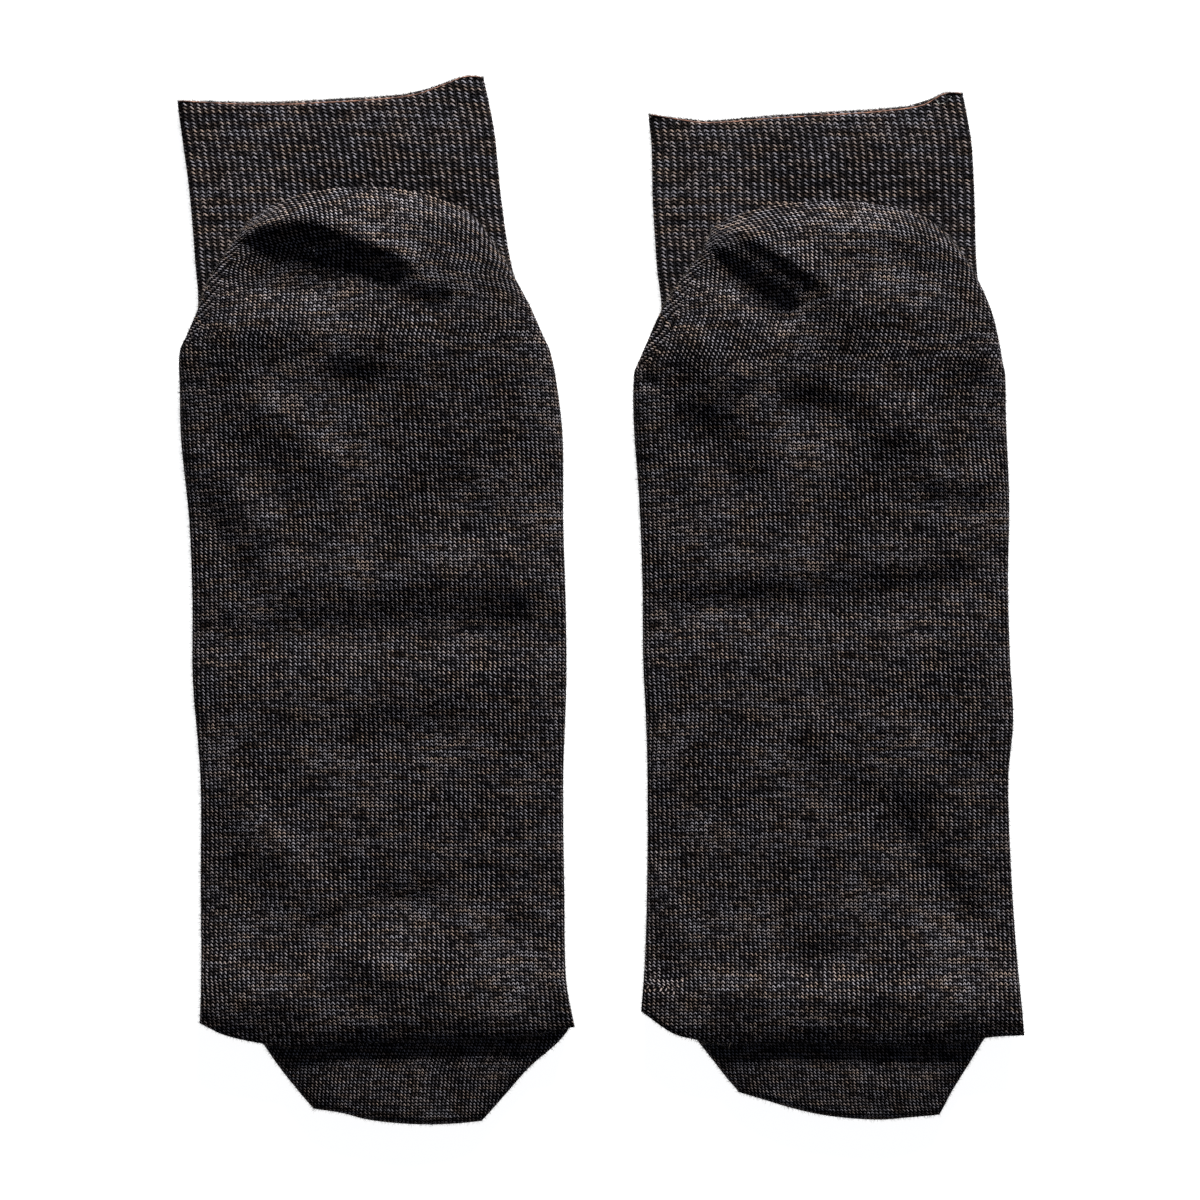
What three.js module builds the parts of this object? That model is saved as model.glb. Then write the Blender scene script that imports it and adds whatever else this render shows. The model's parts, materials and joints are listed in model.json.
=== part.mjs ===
// A pair of fine ribbed wool socks, laid side by side on a flat surface with the soles up.
// Each sock is one knitted tube in four stretches: a ribbed leg that is open at its cuff, a heel
// pocket folded flat onto the back of the leg, a plain foot whose sole is pushed down into a fold
// over the toes, and a toe pocket that shows below that fold. Every stretch is a wall of cloth
// around a thin hollow. Millimetres, +Z up, X to the right, Y from the toes towards the cuffs.
import * as THREE from 'three';
import { mergeVertices } from 'three/addons/utils/BufferGeometryUtils.js';

const CLOTH = 1.4; // thickness of the knitted wool
const SEAM_GAP = 0.3; // between two stretches that are knitted on to each other
const FLAT_PAIR = 3.6; // height of two layers of cloth with a little air between them
const STACK = FLAT_PAIR + SEAM_GAP; // where a layer that lies on a flat pair starts
const RIBS = 44; // ribs across one face of the leg
const RIB_RELIEF = 0.32; // height of a rib above the valley beside it
const FRONT_LIP = 1.1; // how far the front of the cuff stands past the back of it
const MOUTH_RISE = 0.5; // how far the back of the cuff stands open
const MOUTH_REACH = 22; // how far down the leg the cuff stands open
const TOE_SEAM_Y = -97; // where the toe pocket is knitted on to the foot, under the fold
const INNER_GAP = 0.1; // least distance between the two inner faces of a tube
const TOE_FULLNESS = 1.3; // how far the toe pocket swells once it is clear of the toe fold
const TOE_SWELL = { from: -109, to: -119 }; // heights y between which it swells
const HEEL_ROLL = 9; // how far in from the heel fold the cloth keeps rising
const TOE_ROLL = 5.5; // the same for the toe fold
const SIDE_PIN = 4; // power of the curve that flattens the cloth's rise towards its side edges
const FOLD_PIN = 10; // the same for the folds, which run nearly out to the edges
const ARCH_POWER = 0.75; // how square the arch of the heel fold is
const ARCH_FROM = 0.1; // share of the heel below which its rows of stitches are straight
const TIP_FROM = 0.3; // the same for the toe
const END_EASE = 1.2; // how evenly the rows take up the curve of the closed end
const CUFF_EASE = 2; // how fast the wave of the cuff's rim fades down the leg
const SLOT_RISE = { before: 0.06, after: 0.02 }; // shares of the foot over which its edge rises

// Columns and rows of points. The leg's back has a column on each rib and in each valley.
const EDGE_COLUMNS = [0, 0.13, 0.5, 1]; // their places round a side edge, in radii
const END_ROWS = [1, 0.45, 0.04]; // their places round a closed end, in radii
const COUNTS = {
  leg: {
    outer: { top: 2 * RIBS, under: 10, along: 7 },
    inner: { top: 12, under: 10, along: 3 },
  },
  heel: {
    outer: { top: 26, under: 10, along: 18 },
    inner: { top: 14, under: 10, along: 10 },
  },
  foot: {
    outer: { top: 24, under: 10, along: 28 },
    inner: { top: 12, under: 10, along: 14 },
  },
  toe: {
    outer: { top: 18, under: 10, along: 10 },
    inner: { top: 12, under: 10, along: 6 },
  },
};
const WELD = 1e-4; // corners closer than this are one point

const RIB_COLOUR = 0x38332f;
const PLAIN_COLOUR = 0x2f2a29;
const WOOL_ROUGHNESS = 0.95;

// Rows of a sock's sections give the cloth's left and right edges at a height y of the page.
const leftSock = {
  name: 'left',
  ankleY: 62,
  cuff: {
    left: { x: -105.75, y: 125 },
    right: { x: -29.5, y: 130.9 },
    rim: [
      { across: 0, rise: 0 },
      { across: 0.18, rise: -1.9 },
      { across: 0.34, rise: -3.0 },
      { across: 0.5, rise: -3.4 },
      { across: 0.66, rise: -3.6 },
      { across: 0.78, rise: -3.1 },
      { across: 0.87, rise: -1.2 },
      { across: 0.94, rise: 0.4 },
      { across: 1, rise: 0 },
    ],
  },
  leg: [
    { y: 131, left: -105.9, right: -29.2 },
    { y: 125, left: -105.9, right: -27.9 },
    { y: 117, left: -104.9, right: -26.4 },
    { y: 102, left: -102.9, right: -24.9 },
    { y: 85, left: -101.5, right: -22.4 },
    { y: 73, left: -100.8, right: -18.8 },
    { y: 62, left: -103.2, right: -14.6 },
  ],
  heel: [
    { y: 62, left: -104.9, right: -12.4 },
    { y: 66, left: -103.2, right: -14.2 },
    { y: 73, left: -100.1, right: -17.3 },
    { y: 79, left: -97.8, right: -20.5 },
    { y: 85, left: -94.2, right: -24.0 },
    { y: 90, left: -90.8, right: -27.2 },
    { y: 94, left: -88.0, right: -30.0 },
  ],
  heelTip: { left: 94, right: 94, rise: 9.25 },
  foot: [
    { y: 62, left: -105.0, right: -12.3 },
    { y: 52, left: -105.2, right: -10.5 },
    { y: 40, left: -105.0, right: -9.3 },
    { y: 20, left: -103.0, right: -9.2 },
    { y: 0, left: -102.2, right: -8.6 },
    { y: -20, left: -102.1, right: -8.4 },
    { y: -45, left: -100.2, right: -9.2 },
    { y: -75, left: -100.1, right: -8.9 },
    { y: -95, left: -99.6, right: -8.4 },
    { y: -107, left: -99.9, right: -6.2 },
  ],
  ears: { left: -105.6, right: -106.5 },
  toeFold: [
    { across: 0, drop: 0 },
    { across: 0.06, drop: -2.7 },
    { across: 0.14, drop: -4.5 },
    { across: 0.24, drop: -5.7 },
    { across: 0.34, drop: -5.1 },
    { across: 0.5, drop: -3.9 },
    { across: 0.75, drop: -3.0 },
    { across: 0.9, drop: -1.8 },
    { across: 1, drop: 0 },
  ],
  toe: [
    { y: -97, left: -94.2, right: -9.6 },
    { y: -106, left: -88.0, right: -7.4 },
    { y: -110.5, left: -84.9, right: -10.2 },
    { y: -117, left: -80.4, right: -17.6 },
    { y: -124, left: -74.8, right: -23.8 },
    { y: -127.3, left: -72.0, right: -26.7 },
    { y: -130.6, left: -70.0, right: -29.7 },
  ],
  tip: {
    left: -127.5,
    right: -130.6,
    curve: [
      { across: 0, drop: 0 },
      { across: 0.17, drop: -0.5 },
      { across: 0.31, drop: -1.6 },
      { across: 0.46, drop: -2.0 },
      { across: 0.64, drop: -1.9 },
      { across: 0.82, drop: -1.2 },
      { across: 1, drop: 0 },
    ],
  },
  // A fold is a soft ridge, or a trough where its height is negative, along a line from left to
  // right. It reaches a different distance above the line than below it.
  folds: [
    { x1: -86, y1: 94.6, x2: -71, y2: 94.4, above: 3.8, below: 2.6, height: 2.3 },
    { x1: -71, y1: 94.4, x2: -46, y2: 83, above: 4, below: 2.6, height: 2 },
    { x1: -94, y1: 87, x2: -71, y2: 86.6, above: 3, below: 6, height: -3.8 },
    { x1: -71, y1: 86.6, x2: -50, y2: 77.5, above: 3, below: 6, height: -3 },
    { x1: -92, y1: 79.5, x2: -66, y2: 78.5, above: 5, below: 5, height: -2.4 },
    { x1: -54, y1: 75, x2: -36, y2: 71.5, above: 3.2, below: 6, height: -1.9 },
    { x1: -96, y1: 67, x2: -42, y2: 65, above: 3.8, below: 9, height: 0.8 },
    { x1: -102, y1: 38, x2: -81, y2: 15, above: 4, below: 7, height: 1.2 },
    { x1: -102, y1: 25, x2: -86, y2: -1, above: 5, below: 6, height: -1.1 },
    { x1: -106, y1: -8.4, x2: -7, y2: -6.4, above: 5.4, below: 9, height: -1.5 },
    { x1: -94, y1: -46, x2: -68, y2: -79, above: 4, below: 9, height: 1.3 },
    { x1: -66, y1: -87, x2: -48, y2: -94, above: 3.4, below: 5, height: 1.1 },
  ],
};

const rightSock = {
  name: 'right',
  ankleY: 56.7,
  cuff: {
    left: { x: 12.4, y: 121.6 },
    right: { x: 90.9, y: 126.9 },
    rim: [
      { across: 0, rise: 0 },
      { across: 0.1, rise: -1.9 },
      { across: 0.19, rise: -3.2 },
      { across: 0.4, rise: -3.2 },
      { across: 0.6, rise: -3.3 },
      { across: 0.75, rise: -3.2 },
      { across: 0.87, rise: -2.4 },
      { across: 0.94, rise: 0.1 },
      { across: 1, rise: 0 },
    ],
  },
  leg: [
    { y: 127, left: 12.2, right: 90.9 },
    { y: 121, left: 12.2, right: 92.1 },
    { y: 114, left: 12.9, right: 93.2 },
    { y: 100, left: 13.2, right: 93.9 },
    { y: 84, left: 14.2, right: 94.4 },
    { y: 70, left: 15.2, right: 96.2 },
    { y: 56.7, left: 10.4, right: 99.7 },
  ],
  heel: [
    { y: 56.7, left: 8.6, right: 101.1 },
    { y: 59, left: 9.4, right: 100.6 },
    { y: 64.5, left: 11.8, right: 99.6 },
    { y: 72, left: 15.2, right: 97.7 },
    { y: 80, left: 20.5, right: 94.2 },
    { y: 87, left: 25.6, right: 89.8 },
    { y: 94, left: 28.6, right: 83.3 },
  ],
  heelTip: { left: 92.8, right: 93.8, rise: 6.2 },
  foot: [
    { y: 56.7, left: 8.5, right: 101.2 },
    { y: 45, left: 8.4, right: 101.7 },
    { y: 25, left: 9.8, right: 102.6 },
    { y: 5, left: 10.6, right: 102.3 },
    { y: -15, left: 10.8, right: 102.8 },
    { y: -30, left: 11.5, right: 103.6 },
    { y: -45, left: 11.9, right: 102.4 },
    { y: -70, left: 11.8, right: 103.2 },
    { y: -90, left: 11.2, right: 104.5 },
    { y: -109, left: 9.7, right: 105.9 },
  ],
  ears: { left: -102.6, right: -108.6 },
  toeFold: [
    { across: 0, drop: 0 },
    { across: 0.08, drop: -4.9 },
    { across: 0.14, drop: -6.2 },
    { across: 0.21, drop: -6.8 },
    { across: 0.42, drop: -5.3 },
    { across: 0.7, drop: -4.2 },
    { across: 0.82, drop: -2.7 },
    { across: 0.92, drop: -0.9 },
    { across: 1, drop: 0 },
  ],
  toe: [
    { y: -94, left: 12.4, right: 105.0 },
    { y: -100, left: 16.4, right: 102.0 },
    { y: -106, left: 21.0, right: 98.9 },
    { y: -110.3, left: 24.3, right: 96.1 },
    { y: -116.5, left: 29.2, right: 92.3 },
    { y: -120, left: 31.9, right: 90.1 },
    { y: -123.3, left: 34.6, right: 88.1 },
    { y: -129.2, left: 36.0, right: 85.0 },
  ],
  tip: {
    left: -123.3,
    right: -129,
    curve: [
      { across: 0, drop: 0 },
      { across: 0.13, drop: -1.2 },
      { across: 0.27, drop: -2.5 },
      { across: 0.41, drop: -3.3 },
      { across: 0.55, drop: -3.4 },
      { across: 0.7, drop: -2.9 },
      { across: 0.85, drop: -1.5 },
      { across: 1, drop: 0 },
    ],
  },
  folds: [
    { x1: 31, y1: 94.5, x2: 56, y2: 78.5, above: 3.8, below: 2.4, height: 1.8 },
    { x1: 25, y1: 86.5, x2: 48, y2: 71, above: 3, below: 5.6, height: -3.6 },
    { x1: 20, y1: 70, x2: 39, y2: 55, above: 4, below: 7, height: 1.5 },
    { x1: 45, y1: 48, x2: 62, y2: 47, above: 4.4, below: 8, height: -1.5 },
    { x1: 74, y1: 50, x2: 81, y2: 27, above: 4, below: 6, height: 1.2 },
    { x1: 6, y1: -4.7, x2: 106, y2: 4.7, above: 5.4, below: 9, height: -1.2 },
    { x1: 74, y1: -27, x2: 81, y2: -49, above: 4, below: 6, height: 1.1 },
    { x1: 74, y1: -55, x2: 95, y2: -83, above: 5, below: 7, height: -1.7 },
    { x1: 12, y1: -66, x2: 22, y2: -86, above: 4, below: 6, height: 1.1 },
    { x1: 44, y1: -90, x2: 66, y2: -90, above: 6, below: 7, height: -1.4 },
  ],
};

// Heights of the sole side at its edges and along its middle, by distance from the ankle line.
const SOLE_HEIGHTS = [
  { beyondAnkle: 42, edge: 7.4, middle: 9.6 },
  { beyondAnkle: 28, edge: 7.4, middle: 10 },
  { beyondAnkle: 10, edge: 7.4, middle: 9.2 },
  { beyondAnkle: 0, edge: 7.2, middle: 8.4 },
  { beyondAnkle: -8, edge: 6.4, middle: 7.8 },
  { beyondAnkle: -20, edge: 5.3, middle: 6.8 },
  { beyondAnkle: -36, edge: 4.3, middle: 5.8 },
  { beyondAnkle: -56, edge: 3.7, middle: 5.2 },
  { beyondAnkle: -76, edge: FLAT_PAIR, middle: 4.9 },
  { beyondAnkle: -136, edge: FLAT_PAIR, middle: 4.9 },
  { beyondAnkle: -148, edge: 5.0, middle: 6.0 },
  { beyondAnkle: -158, edge: 7.4, middle: 7.5 },
  { beyondAnkle: -175, edge: 7.4, middle: 7.6 },
];

const lerp = THREE.MathUtils.lerp;
const smoothstep = THREE.MathUtils.smoothstep;

// A value between the rows of a table, eased so that no row makes a corner.
function tableValue(rows, key, at, column) {
  const up = rows[0][key] < rows[rows.length - 1][key];
  const inOrder = up ? rows : [...rows].reverse();
  const last = inOrder.length - 1;
  if (at <= inOrder[0][key]) return inOrder[0][column];
  if (at >= inOrder[last][key]) return inOrder[last][column];
  const i = inOrder.findIndex((row) => row[key] > at) - 1;
  const slope = (j) => {
    const before = inOrder[Math.max(j - 1, 0)];
    const after = inOrder[Math.min(j + 1, last)];
    return (after[column] - before[column]) / (after[key] - before[key]);
  };
  const a = inOrder[i];
  const b = inOrder[i + 1];
  const span = b[key] - a[key];
  const u = (at - a[key]) / span;
  return (
    (2 * u ** 3 - 3 * u ** 2 + 1) * a[column] +
    (u ** 3 - 2 * u ** 2 + u) * span * slope(i) +
    (3 * u ** 2 - 2 * u ** 3) * b[column] +
    (u ** 3 - u ** 2) * span * slope(i + 1)
  );
}

// How much a fold lifts or sinks the cloth at a point: full along its line, fading at both ends.
function foldLift(fold, x, y) {
  const dx = fold.x2 - fold.x1;
  const dy = fold.y2 - fold.y1;
  const length = Math.hypot(dx, dy);
  const along = ((x - fold.x1) * dx + (y - fold.y1) * dy) / length;
  const aside = ((x - fold.x1) * dy - (y - fold.y1) * dx) / length;
  const past = Math.max(-along, along - length, 0);
  const fade = smoothstep(Math.min(along, length - along), -fold.above, fold.above);
  const reach = aside < 0 ? fold.above : fold.below;
  return fold.height * fade * Math.exp(-((aside / reach) ** 2) - (past / fold.above) ** 2);
}

// The height of the sole side, which rises in a roll from the heel fold and from the toe fold.
function soleHeight(sock, x, y, across, toFold, roll) {
  const beyondAnkle = y - sock.ankleY;
  const edge = tableValue(SOLE_HEIGHTS, 'beyondAnkle', beyondAnkle, 'edge');
  const middle = tableValue(SOLE_HEIGHTS, 'beyondAnkle', beyondAnkle, 'middle');
  const fromMiddle = Math.abs(2 * across - 1);
  const full = lerp(edge, middle, 1 - fromMiddle ** SIDE_PIN);
  const folded = sock.folds.reduce((sum, fold) => sum + foldLift(fold, x, y), 0);
  const rolled = 1 - (1 - THREE.MathUtils.clamp(toFold / roll, 0, 1)) ** 2;
  const nearFold = Math.min(STACK + FLAT_PAIR / 2, full);
  return lerp(nearFold, full, rolled) + folded * (1 - fromMiddle ** FOLD_PIN) * rolled;
}

// A stretch of knitting laid flat is two layers of cloth between a left and a right edge.
// place(across, along, isTop) gives a point's x and y, and its layer heights come from
// top(x, y, across) and under(along). middle(along) is the height where the layers meet.
function pointOf(stretch, side, inset, across, along, beyondSlot) {
  const width = stretch.width(along);
  const shownAcross = inset / width + across * (1 - (2 * inset) / width);
  const shownAlong = stretch.closed ? along * (1 - inset / stretch.length) : along;
  const isTop = side === 'top';
  const { x, y: backY } = stretch.place(shownAcross, shownAlong);
  const y = stretch.frontLip && !isTop ? backY + stretch.frontLip(across, along) : backY;
  const middle = stretch.middle(shownAlong);
  const floor = stretch.under(shownAlong, beyondSlot);
  const under = floor + inset;
  const relief = stretch.relief && inset === 0 ? stretch.relief(across) : 0;
  const lowestTop = floor + 2 * CLOTH + INNER_GAP;
  const top = Math.max(stretch.top(x, y, shownAcross), lowestTop) + relief - inset;
  const height = isTop ? top - middle : middle - under;
  const fromSide = Math.min(across, 1 - across) * (width - 2 * inset);
  const fromEnd = stretch.closed ? (1 - along) * (stretch.length - inset) : Infinity;
  const round = (distance, radius) =>
    distance >= radius ? 1 : Math.sqrt(1 - (1 - distance / radius) ** 2);
  const sideBulge = round(fromSide, stretch.rounding(shownAlong) - inset);
  const bulge = sideBulge * round(fromEnd, FLAT_PAIR / 2 - inset);
  return [x, y, isTop ? middle + height * bulge : middle - height * bulge];
}

// Where the columns of a row stand: close together round the two edges, and even between them.
function columnsAcross(stretch, inset, count, along) {
  if (count === stretch.ribColumns) {
    return Array.from({ length: count + 1 }, (_, i) => i / count);
  }
  const width = stretch.width(along) - 2 * inset;
  const radius = stretch.rounding(along) - inset;
  const edge = EDGE_COLUMNS.map((share) => (share * radius) / width);
  const inner = count - 2 * (edge.length - 1);
  const between = Array.from({ length: inner - 1 }, (_, i) =>
    lerp(radius / width, 1 - radius / width, (i + 1) / inner),
  );
  return [...edge, ...between, ...edge.map((share) => 1 - share).reverse()];
}

// One row of points of a layer, each with its share of the way across.
function rowOf(stretch, side, inset, count, along, beyondSlot) {
  return columnsAcross(stretch, inset, count, along).map((across) => ({
    across,
    at: pointOf(stretch, side, inset, across, along, beyondSlot),
  }));
}

// Triangles between two rows that may have different numbers of points.
function zip(rowA, rowB, flip, out) {
  let i = 0;
  let j = 0;
  while (i < rowA.length - 1 || j < rowB.length - 1) {
    const stepA = j === rowB.length - 1 || (i < rowA.length - 1 && rowA[i + 1].across <= rowB[j + 1].across);
    const three = stepA ? [rowA[i], rowA[i + 1], rowB[j]] : [rowA[i], rowB[j + 1], rowB[j]];
    if (stepA) i += 1;
    else j += 1;
    const [p, q, r] = three.map((point) => point.at);
    out.push(...(flip ? [p, r, q] : [p, q, r]));
  }
}

// Triangles of one layer from row to row.
function skin(rows, flip, out) {
  for (let k = 0; k < rows.length - 1; k += 1) {
    for (let i = 0; i < rows[k].length - 1; i += 1) {
      const [a, b] = [rows[k][i].at, rows[k][i + 1].at];
      const [d, c] = [rows[k + 1][i].at, rows[k + 1][i + 1].at];
      out.push(...(flip ? [a, b, c, a, c, d] : [a, c, b, a, d, c]));
    }
  }
}

// The stations along a stretch, closer together round a closed end.
function stations(stretch, inset, count) {
  const length = stretch.length - inset;
  const radius = FLAT_PAIR / 2 - inset;
  const rounded = stretch.closed ? END_ROWS.map((share) => 1 - (share * radius) / length) : [];
  const plain = count - rounded.length;
  const end = stretch.closed ? rounded[0] : 1;
  const even = Array.from({ length: plain + 1 }, (_, k) => (end * k) / plain);
  const all = [...even, ...rounded.slice(1)];
  if (!stretch.slotAt) return { all, slot: -1 };
  const slotAlong = stretch.slotAt / (stretch.closed ? 1 - inset / stretch.length : 1);
  const nearest = all.reduce((best, along, k) =>
    Math.abs(along - slotAlong) < Math.abs(all[best] - slotAlong) ? k : best, 0);
  all[nearest] = slotAlong;
  return { all, slot: nearest };
}

// Both layers of a stretch, inside or outside the wall.
function layersOf(stretch, inset, counts) {
  const { all, slot } = stations(stretch, inset, counts.along);
  const rows = (side, count, list, beyondSlot) =>
    list.map((along) => rowOf(stretch, side, inset, count, along, beyondSlot));
  const top = rows('top', counts.top, all, false);
  const cut = slot < 0 ? all.length - 1 : slot;
  return {
    top,
    under: rows('under', counts.under, all.slice(0, cut + 1), false),
    beyond: slot < 0 ? [] : rows('under', counts.under, all.slice(cut), true),
  };
}

// The closed wall of a stretch as one geometry.
function wallOf(stretch) {
  const triangles = [];
  const outer = layersOf(stretch, 0, stretch.counts.outer);
  const inner = layersOf(stretch, CLOTH, stretch.counts.inner);
  for (const [layers, flip] of [[outer, false], [inner, true]]) {
    skin(layers.top, flip, triangles);
    skin(layers.under, !flip, triangles);
    skin(layers.beyond, !flip, triangles);
  }
  const last = (rows) => rows[rows.length - 1];
  zip(outer.top[0], inner.top[0], false, triangles);
  zip(outer.under[0], inner.under[0], true, triangles);
  if (stretch.closed) {
    const lastUnder = (layers) => last(layers.beyond.length ? layers.beyond : layers.under);
    zip(last(outer.top), lastUnder(outer), true, triangles);
    zip(last(inner.top), lastUnder(inner), false, triangles);
  } else {
    zip(last(outer.top), last(inner.top), true, triangles);
    zip(last(outer.under), last(inner.under), false, triangles);
  }
  if (outer.beyond.length) {
    zip(last(outer.under), last(inner.under), false, triangles);
    zip(outer.beyond[0], inner.beyond[0], true, triangles);
  }
  return solidFrom(triangles);
}

// A welded geometry from loose triangles, turned so that its faces point out.
function solidFrom(corners) {
  const loose = new THREE.BufferGeometry();
  loose.setAttribute('position', new THREE.Float32BufferAttribute(corners.flat(), 3));
  const welded = mergeVertices(loose, WELD);
  const position = welded.getAttribute('position');
  const at = (i) => new THREE.Vector3().fromBufferAttribute(position, i);
  const faces = [];
  let volume = 0;
  const index = welded.getIndex().array;
  for (let i = 0; i < index.length; i += 3) {
    const [a, b, c] = [index[i], index[i + 1], index[i + 2]];
    if (a === b || b === c || c === a) continue;
    faces.push([a, b, c]);
    volume += at(a).dot(at(b).cross(at(c))) / 6;
  }
  welded.setIndex(faces.flatMap(([a, b, c]) => (volume > 0 ? [a, b, c] : [a, c, b])));
  welded.computeVertexNormals();
  return welded;
}

// Makes the place function of a stretch from its sections, its two end lines and their curves.
function placeBetween(sections, start, end) {
  return (across, along) => {
    const leftY = lerp(start.left, end.left, along);
    const rightY = lerp(start.right, end.right, along);
    const left = tableValue(sections, 'y', leftY, 'left');
    const right = tableValue(sections, 'y', rightY, 'right');
    return {
      x: lerp(left, right, across),
      y:
        lerp(leftY, rightY, across) +
        start.curve(across) * (1 - along) ** CUFF_EASE +
        end.curve(across) * Math.max(0, (along - end.from) / (1 - end.from)) ** END_EASE,
    };
  };
}

const straight = () => 0;

function sized(stretch, sections, start, end) {
  const place = placeBetween(sections, start, end);
  const width = (along) => place(1, along).x - place(0, along).x;
  const length = Math.abs(place(0.5, 1).y - place(0.5, 0).y);
  return { ...stretch, place, width, length };
}

function legStretch(sock) {
  const { left, right, rim } = sock.cuff;
  const cuffCurve = (across) => tableValue(rim, 'across', across, 'rise');
  const ankleY = sock.ankleY + SEAM_GAP / 2;
  return sized(
    {
      closed: false,
      ribColumns: COUNTS.leg.outer.top,
      rounding: () => FLAT_PAIR / 2,
      middle: () => FLAT_PAIR / 2,
      under: () => 0,
      top: (x, y, across) => {
        const nearCuff = smoothstep(y, left.y - MOUTH_REACH, left.y);
        return FLAT_PAIR + MOUTH_RISE * nearCuff * 4 * across * (1 - across);
      },
      relief: (across) => (RIB_RELIEF / 2) * (Math.cos(2 * Math.PI * RIBS * across) - 1),
      frontLip: (across, along) =>
        FRONT_LIP * Math.sqrt(4 * across * (1 - across)) * (1 - along) ** CUFF_EASE,
      counts: COUNTS.leg,
    },
    sock.leg,
    { left: left.y, right: right.y, curve: cuffCurve },
    { left: ankleY, right: ankleY, curve: straight, from: 0 },
  );
}

function heelStretch(sock) {
  const mouthY = sock.ankleY + SEAM_GAP / 2;
  const { left, right, rise } = sock.heelTip;
  const arch = (across) => rise * (1 - (2 * across - 1) ** 2) ** ARCH_POWER;
  const foldY = (across) => lerp(left, right, across) + arch(across);
  return sized(
    {
      closed: true,
      rounding: () => FLAT_PAIR / 2,
      middle: () => STACK + FLAT_PAIR / 2,
      under: () => STACK,
      top: (x, y, across) => soleHeight(sock, x, y, across, foldY(across) - y, HEEL_ROLL),
      counts: COUNTS.heel,
    },
    sock.heel,
    { left: mouthY, right: mouthY, curve: straight },
    { left, right, curve: arch, from: ARCH_FROM },
  );
}

// Where the slot for the toes crosses the underside of the foot.
function toeSlot(sock) {
  const mouthY = sock.ankleY - SEAM_GAP / 2;
  const slotAt = (mouthY - TOE_SEAM_Y) / (mouthY - (sock.ears.left + sock.ears.right) / 2);
  const [left, right] = ['left', 'right'].map((side) => lerp(mouthY, sock.ears[side], slotAt));
  return { mouthY, slotAt, left, right };
}

function footStretch(sock) {
  const { mouthY, slotAt } = toeSlot(sock);
  const sag = (across) => tableValue(sock.toeFold, 'across', across, 'drop');
  const foldY = (across) => lerp(sock.ears.left, sock.ears.right, across) + sag(across);
  const edgeHeight = (along) => {
    const y = lerp(mouthY, (sock.ears.left + sock.ears.right) / 2, along);
    return tableValue(SOLE_HEIGHTS, 'beyondAnkle', y - sock.ankleY, 'edge');
  };
  const overToe = (along) => smoothstep(along, slotAt - SLOT_RISE.before, slotAt + SLOT_RISE.after);
  const middle = (along) => lerp(edgeHeight(along) / 2, STACK + FLAT_PAIR / 2, overToe(along));
  return sized(
    {
      closed: true,
      slotAt,
      rounding: (along) => Math.min(edgeHeight(along), 2 * FLAT_PAIR - SEAM_GAP) / 2,
      middle,
      under: (along, beyondSlot) => (beyondSlot ? STACK : 0),
      top: (x, y, across) => soleHeight(sock, x, y, across, y - foldY(across), TOE_ROLL),
      counts: COUNTS.foot,
    },
    sock.foot,
    { left: mouthY, right: mouthY, curve: straight },
    { left: sock.ears.left, right: sock.ears.right, curve: sag, from: slotAt },
  );
}

function toeStretch(sock) {
  const slot = toeSlot(sock);
  const tipCurve = (across) => tableValue(sock.tip.curve, 'across', across, 'drop');
  return sized(
    {
      closed: true,
      rounding: () => FLAT_PAIR / 2,
      middle: () => FLAT_PAIR / 2,
      under: () => 0,
      top: (x, y, across) => {
        const swell = smoothstep(-y, -TOE_SWELL.from, -TOE_SWELL.to);
        return FLAT_PAIR + TOE_FULLNESS * swell * (1 - Math.abs(2 * across - 1) ** SIDE_PIN);
      },
      counts: COUNTS.toe,
    },
    sock.toe,
    { left: slot.left - SEAM_GAP, right: slot.right - SEAM_GAP, curve: straight },
    { left: sock.tip.left, right: sock.tip.right, curve: tipCurve, from: TIP_FROM },
  );
}

const wool = (color) => new THREE.MeshStandardMaterial({ color, roughness: WOOL_ROUGHNESS, metalness: 0 });

function named(name, geometry, material) {
  const mesh = new THREE.Mesh(geometry, material);
  mesh.name = name;
  return mesh;
}

function sockGroup(sock) {
  const group = new THREE.Group();
  group.add(
    named(`${sock.name}_leg`, wallOf(legStretch(sock)), wool(RIB_COLOUR)),
    named(`${sock.name}_heel`, wallOf(heelStretch(sock)), wool(PLAIN_COLOUR)),
    named(`${sock.name}_foot`, wallOf(footStretch(sock)), wool(PLAIN_COLOUR)),
    named(`${sock.name}_toe`, wallOf(toeStretch(sock)), wool(PLAIN_COLOUR)),
  );
  return group;
}

const pair = new THREE.Group();
pair.add(sockGroup(leftSock), sockGroup(rightSock));

export default pair;
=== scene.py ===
"""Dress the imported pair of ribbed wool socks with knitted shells, fuzz, light and a camera.

The socks lie side by side on a pale floor with their soles up. Lengths in the tables are in
millimetres in the row frame, with +X to the right and +Y from the toes towards the cuffs.
"""

from __future__ import annotations

import json
import logging
import math
from dataclasses import dataclass, field
from enum import Enum
from typing import Any, Mapping, Sequence

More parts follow.
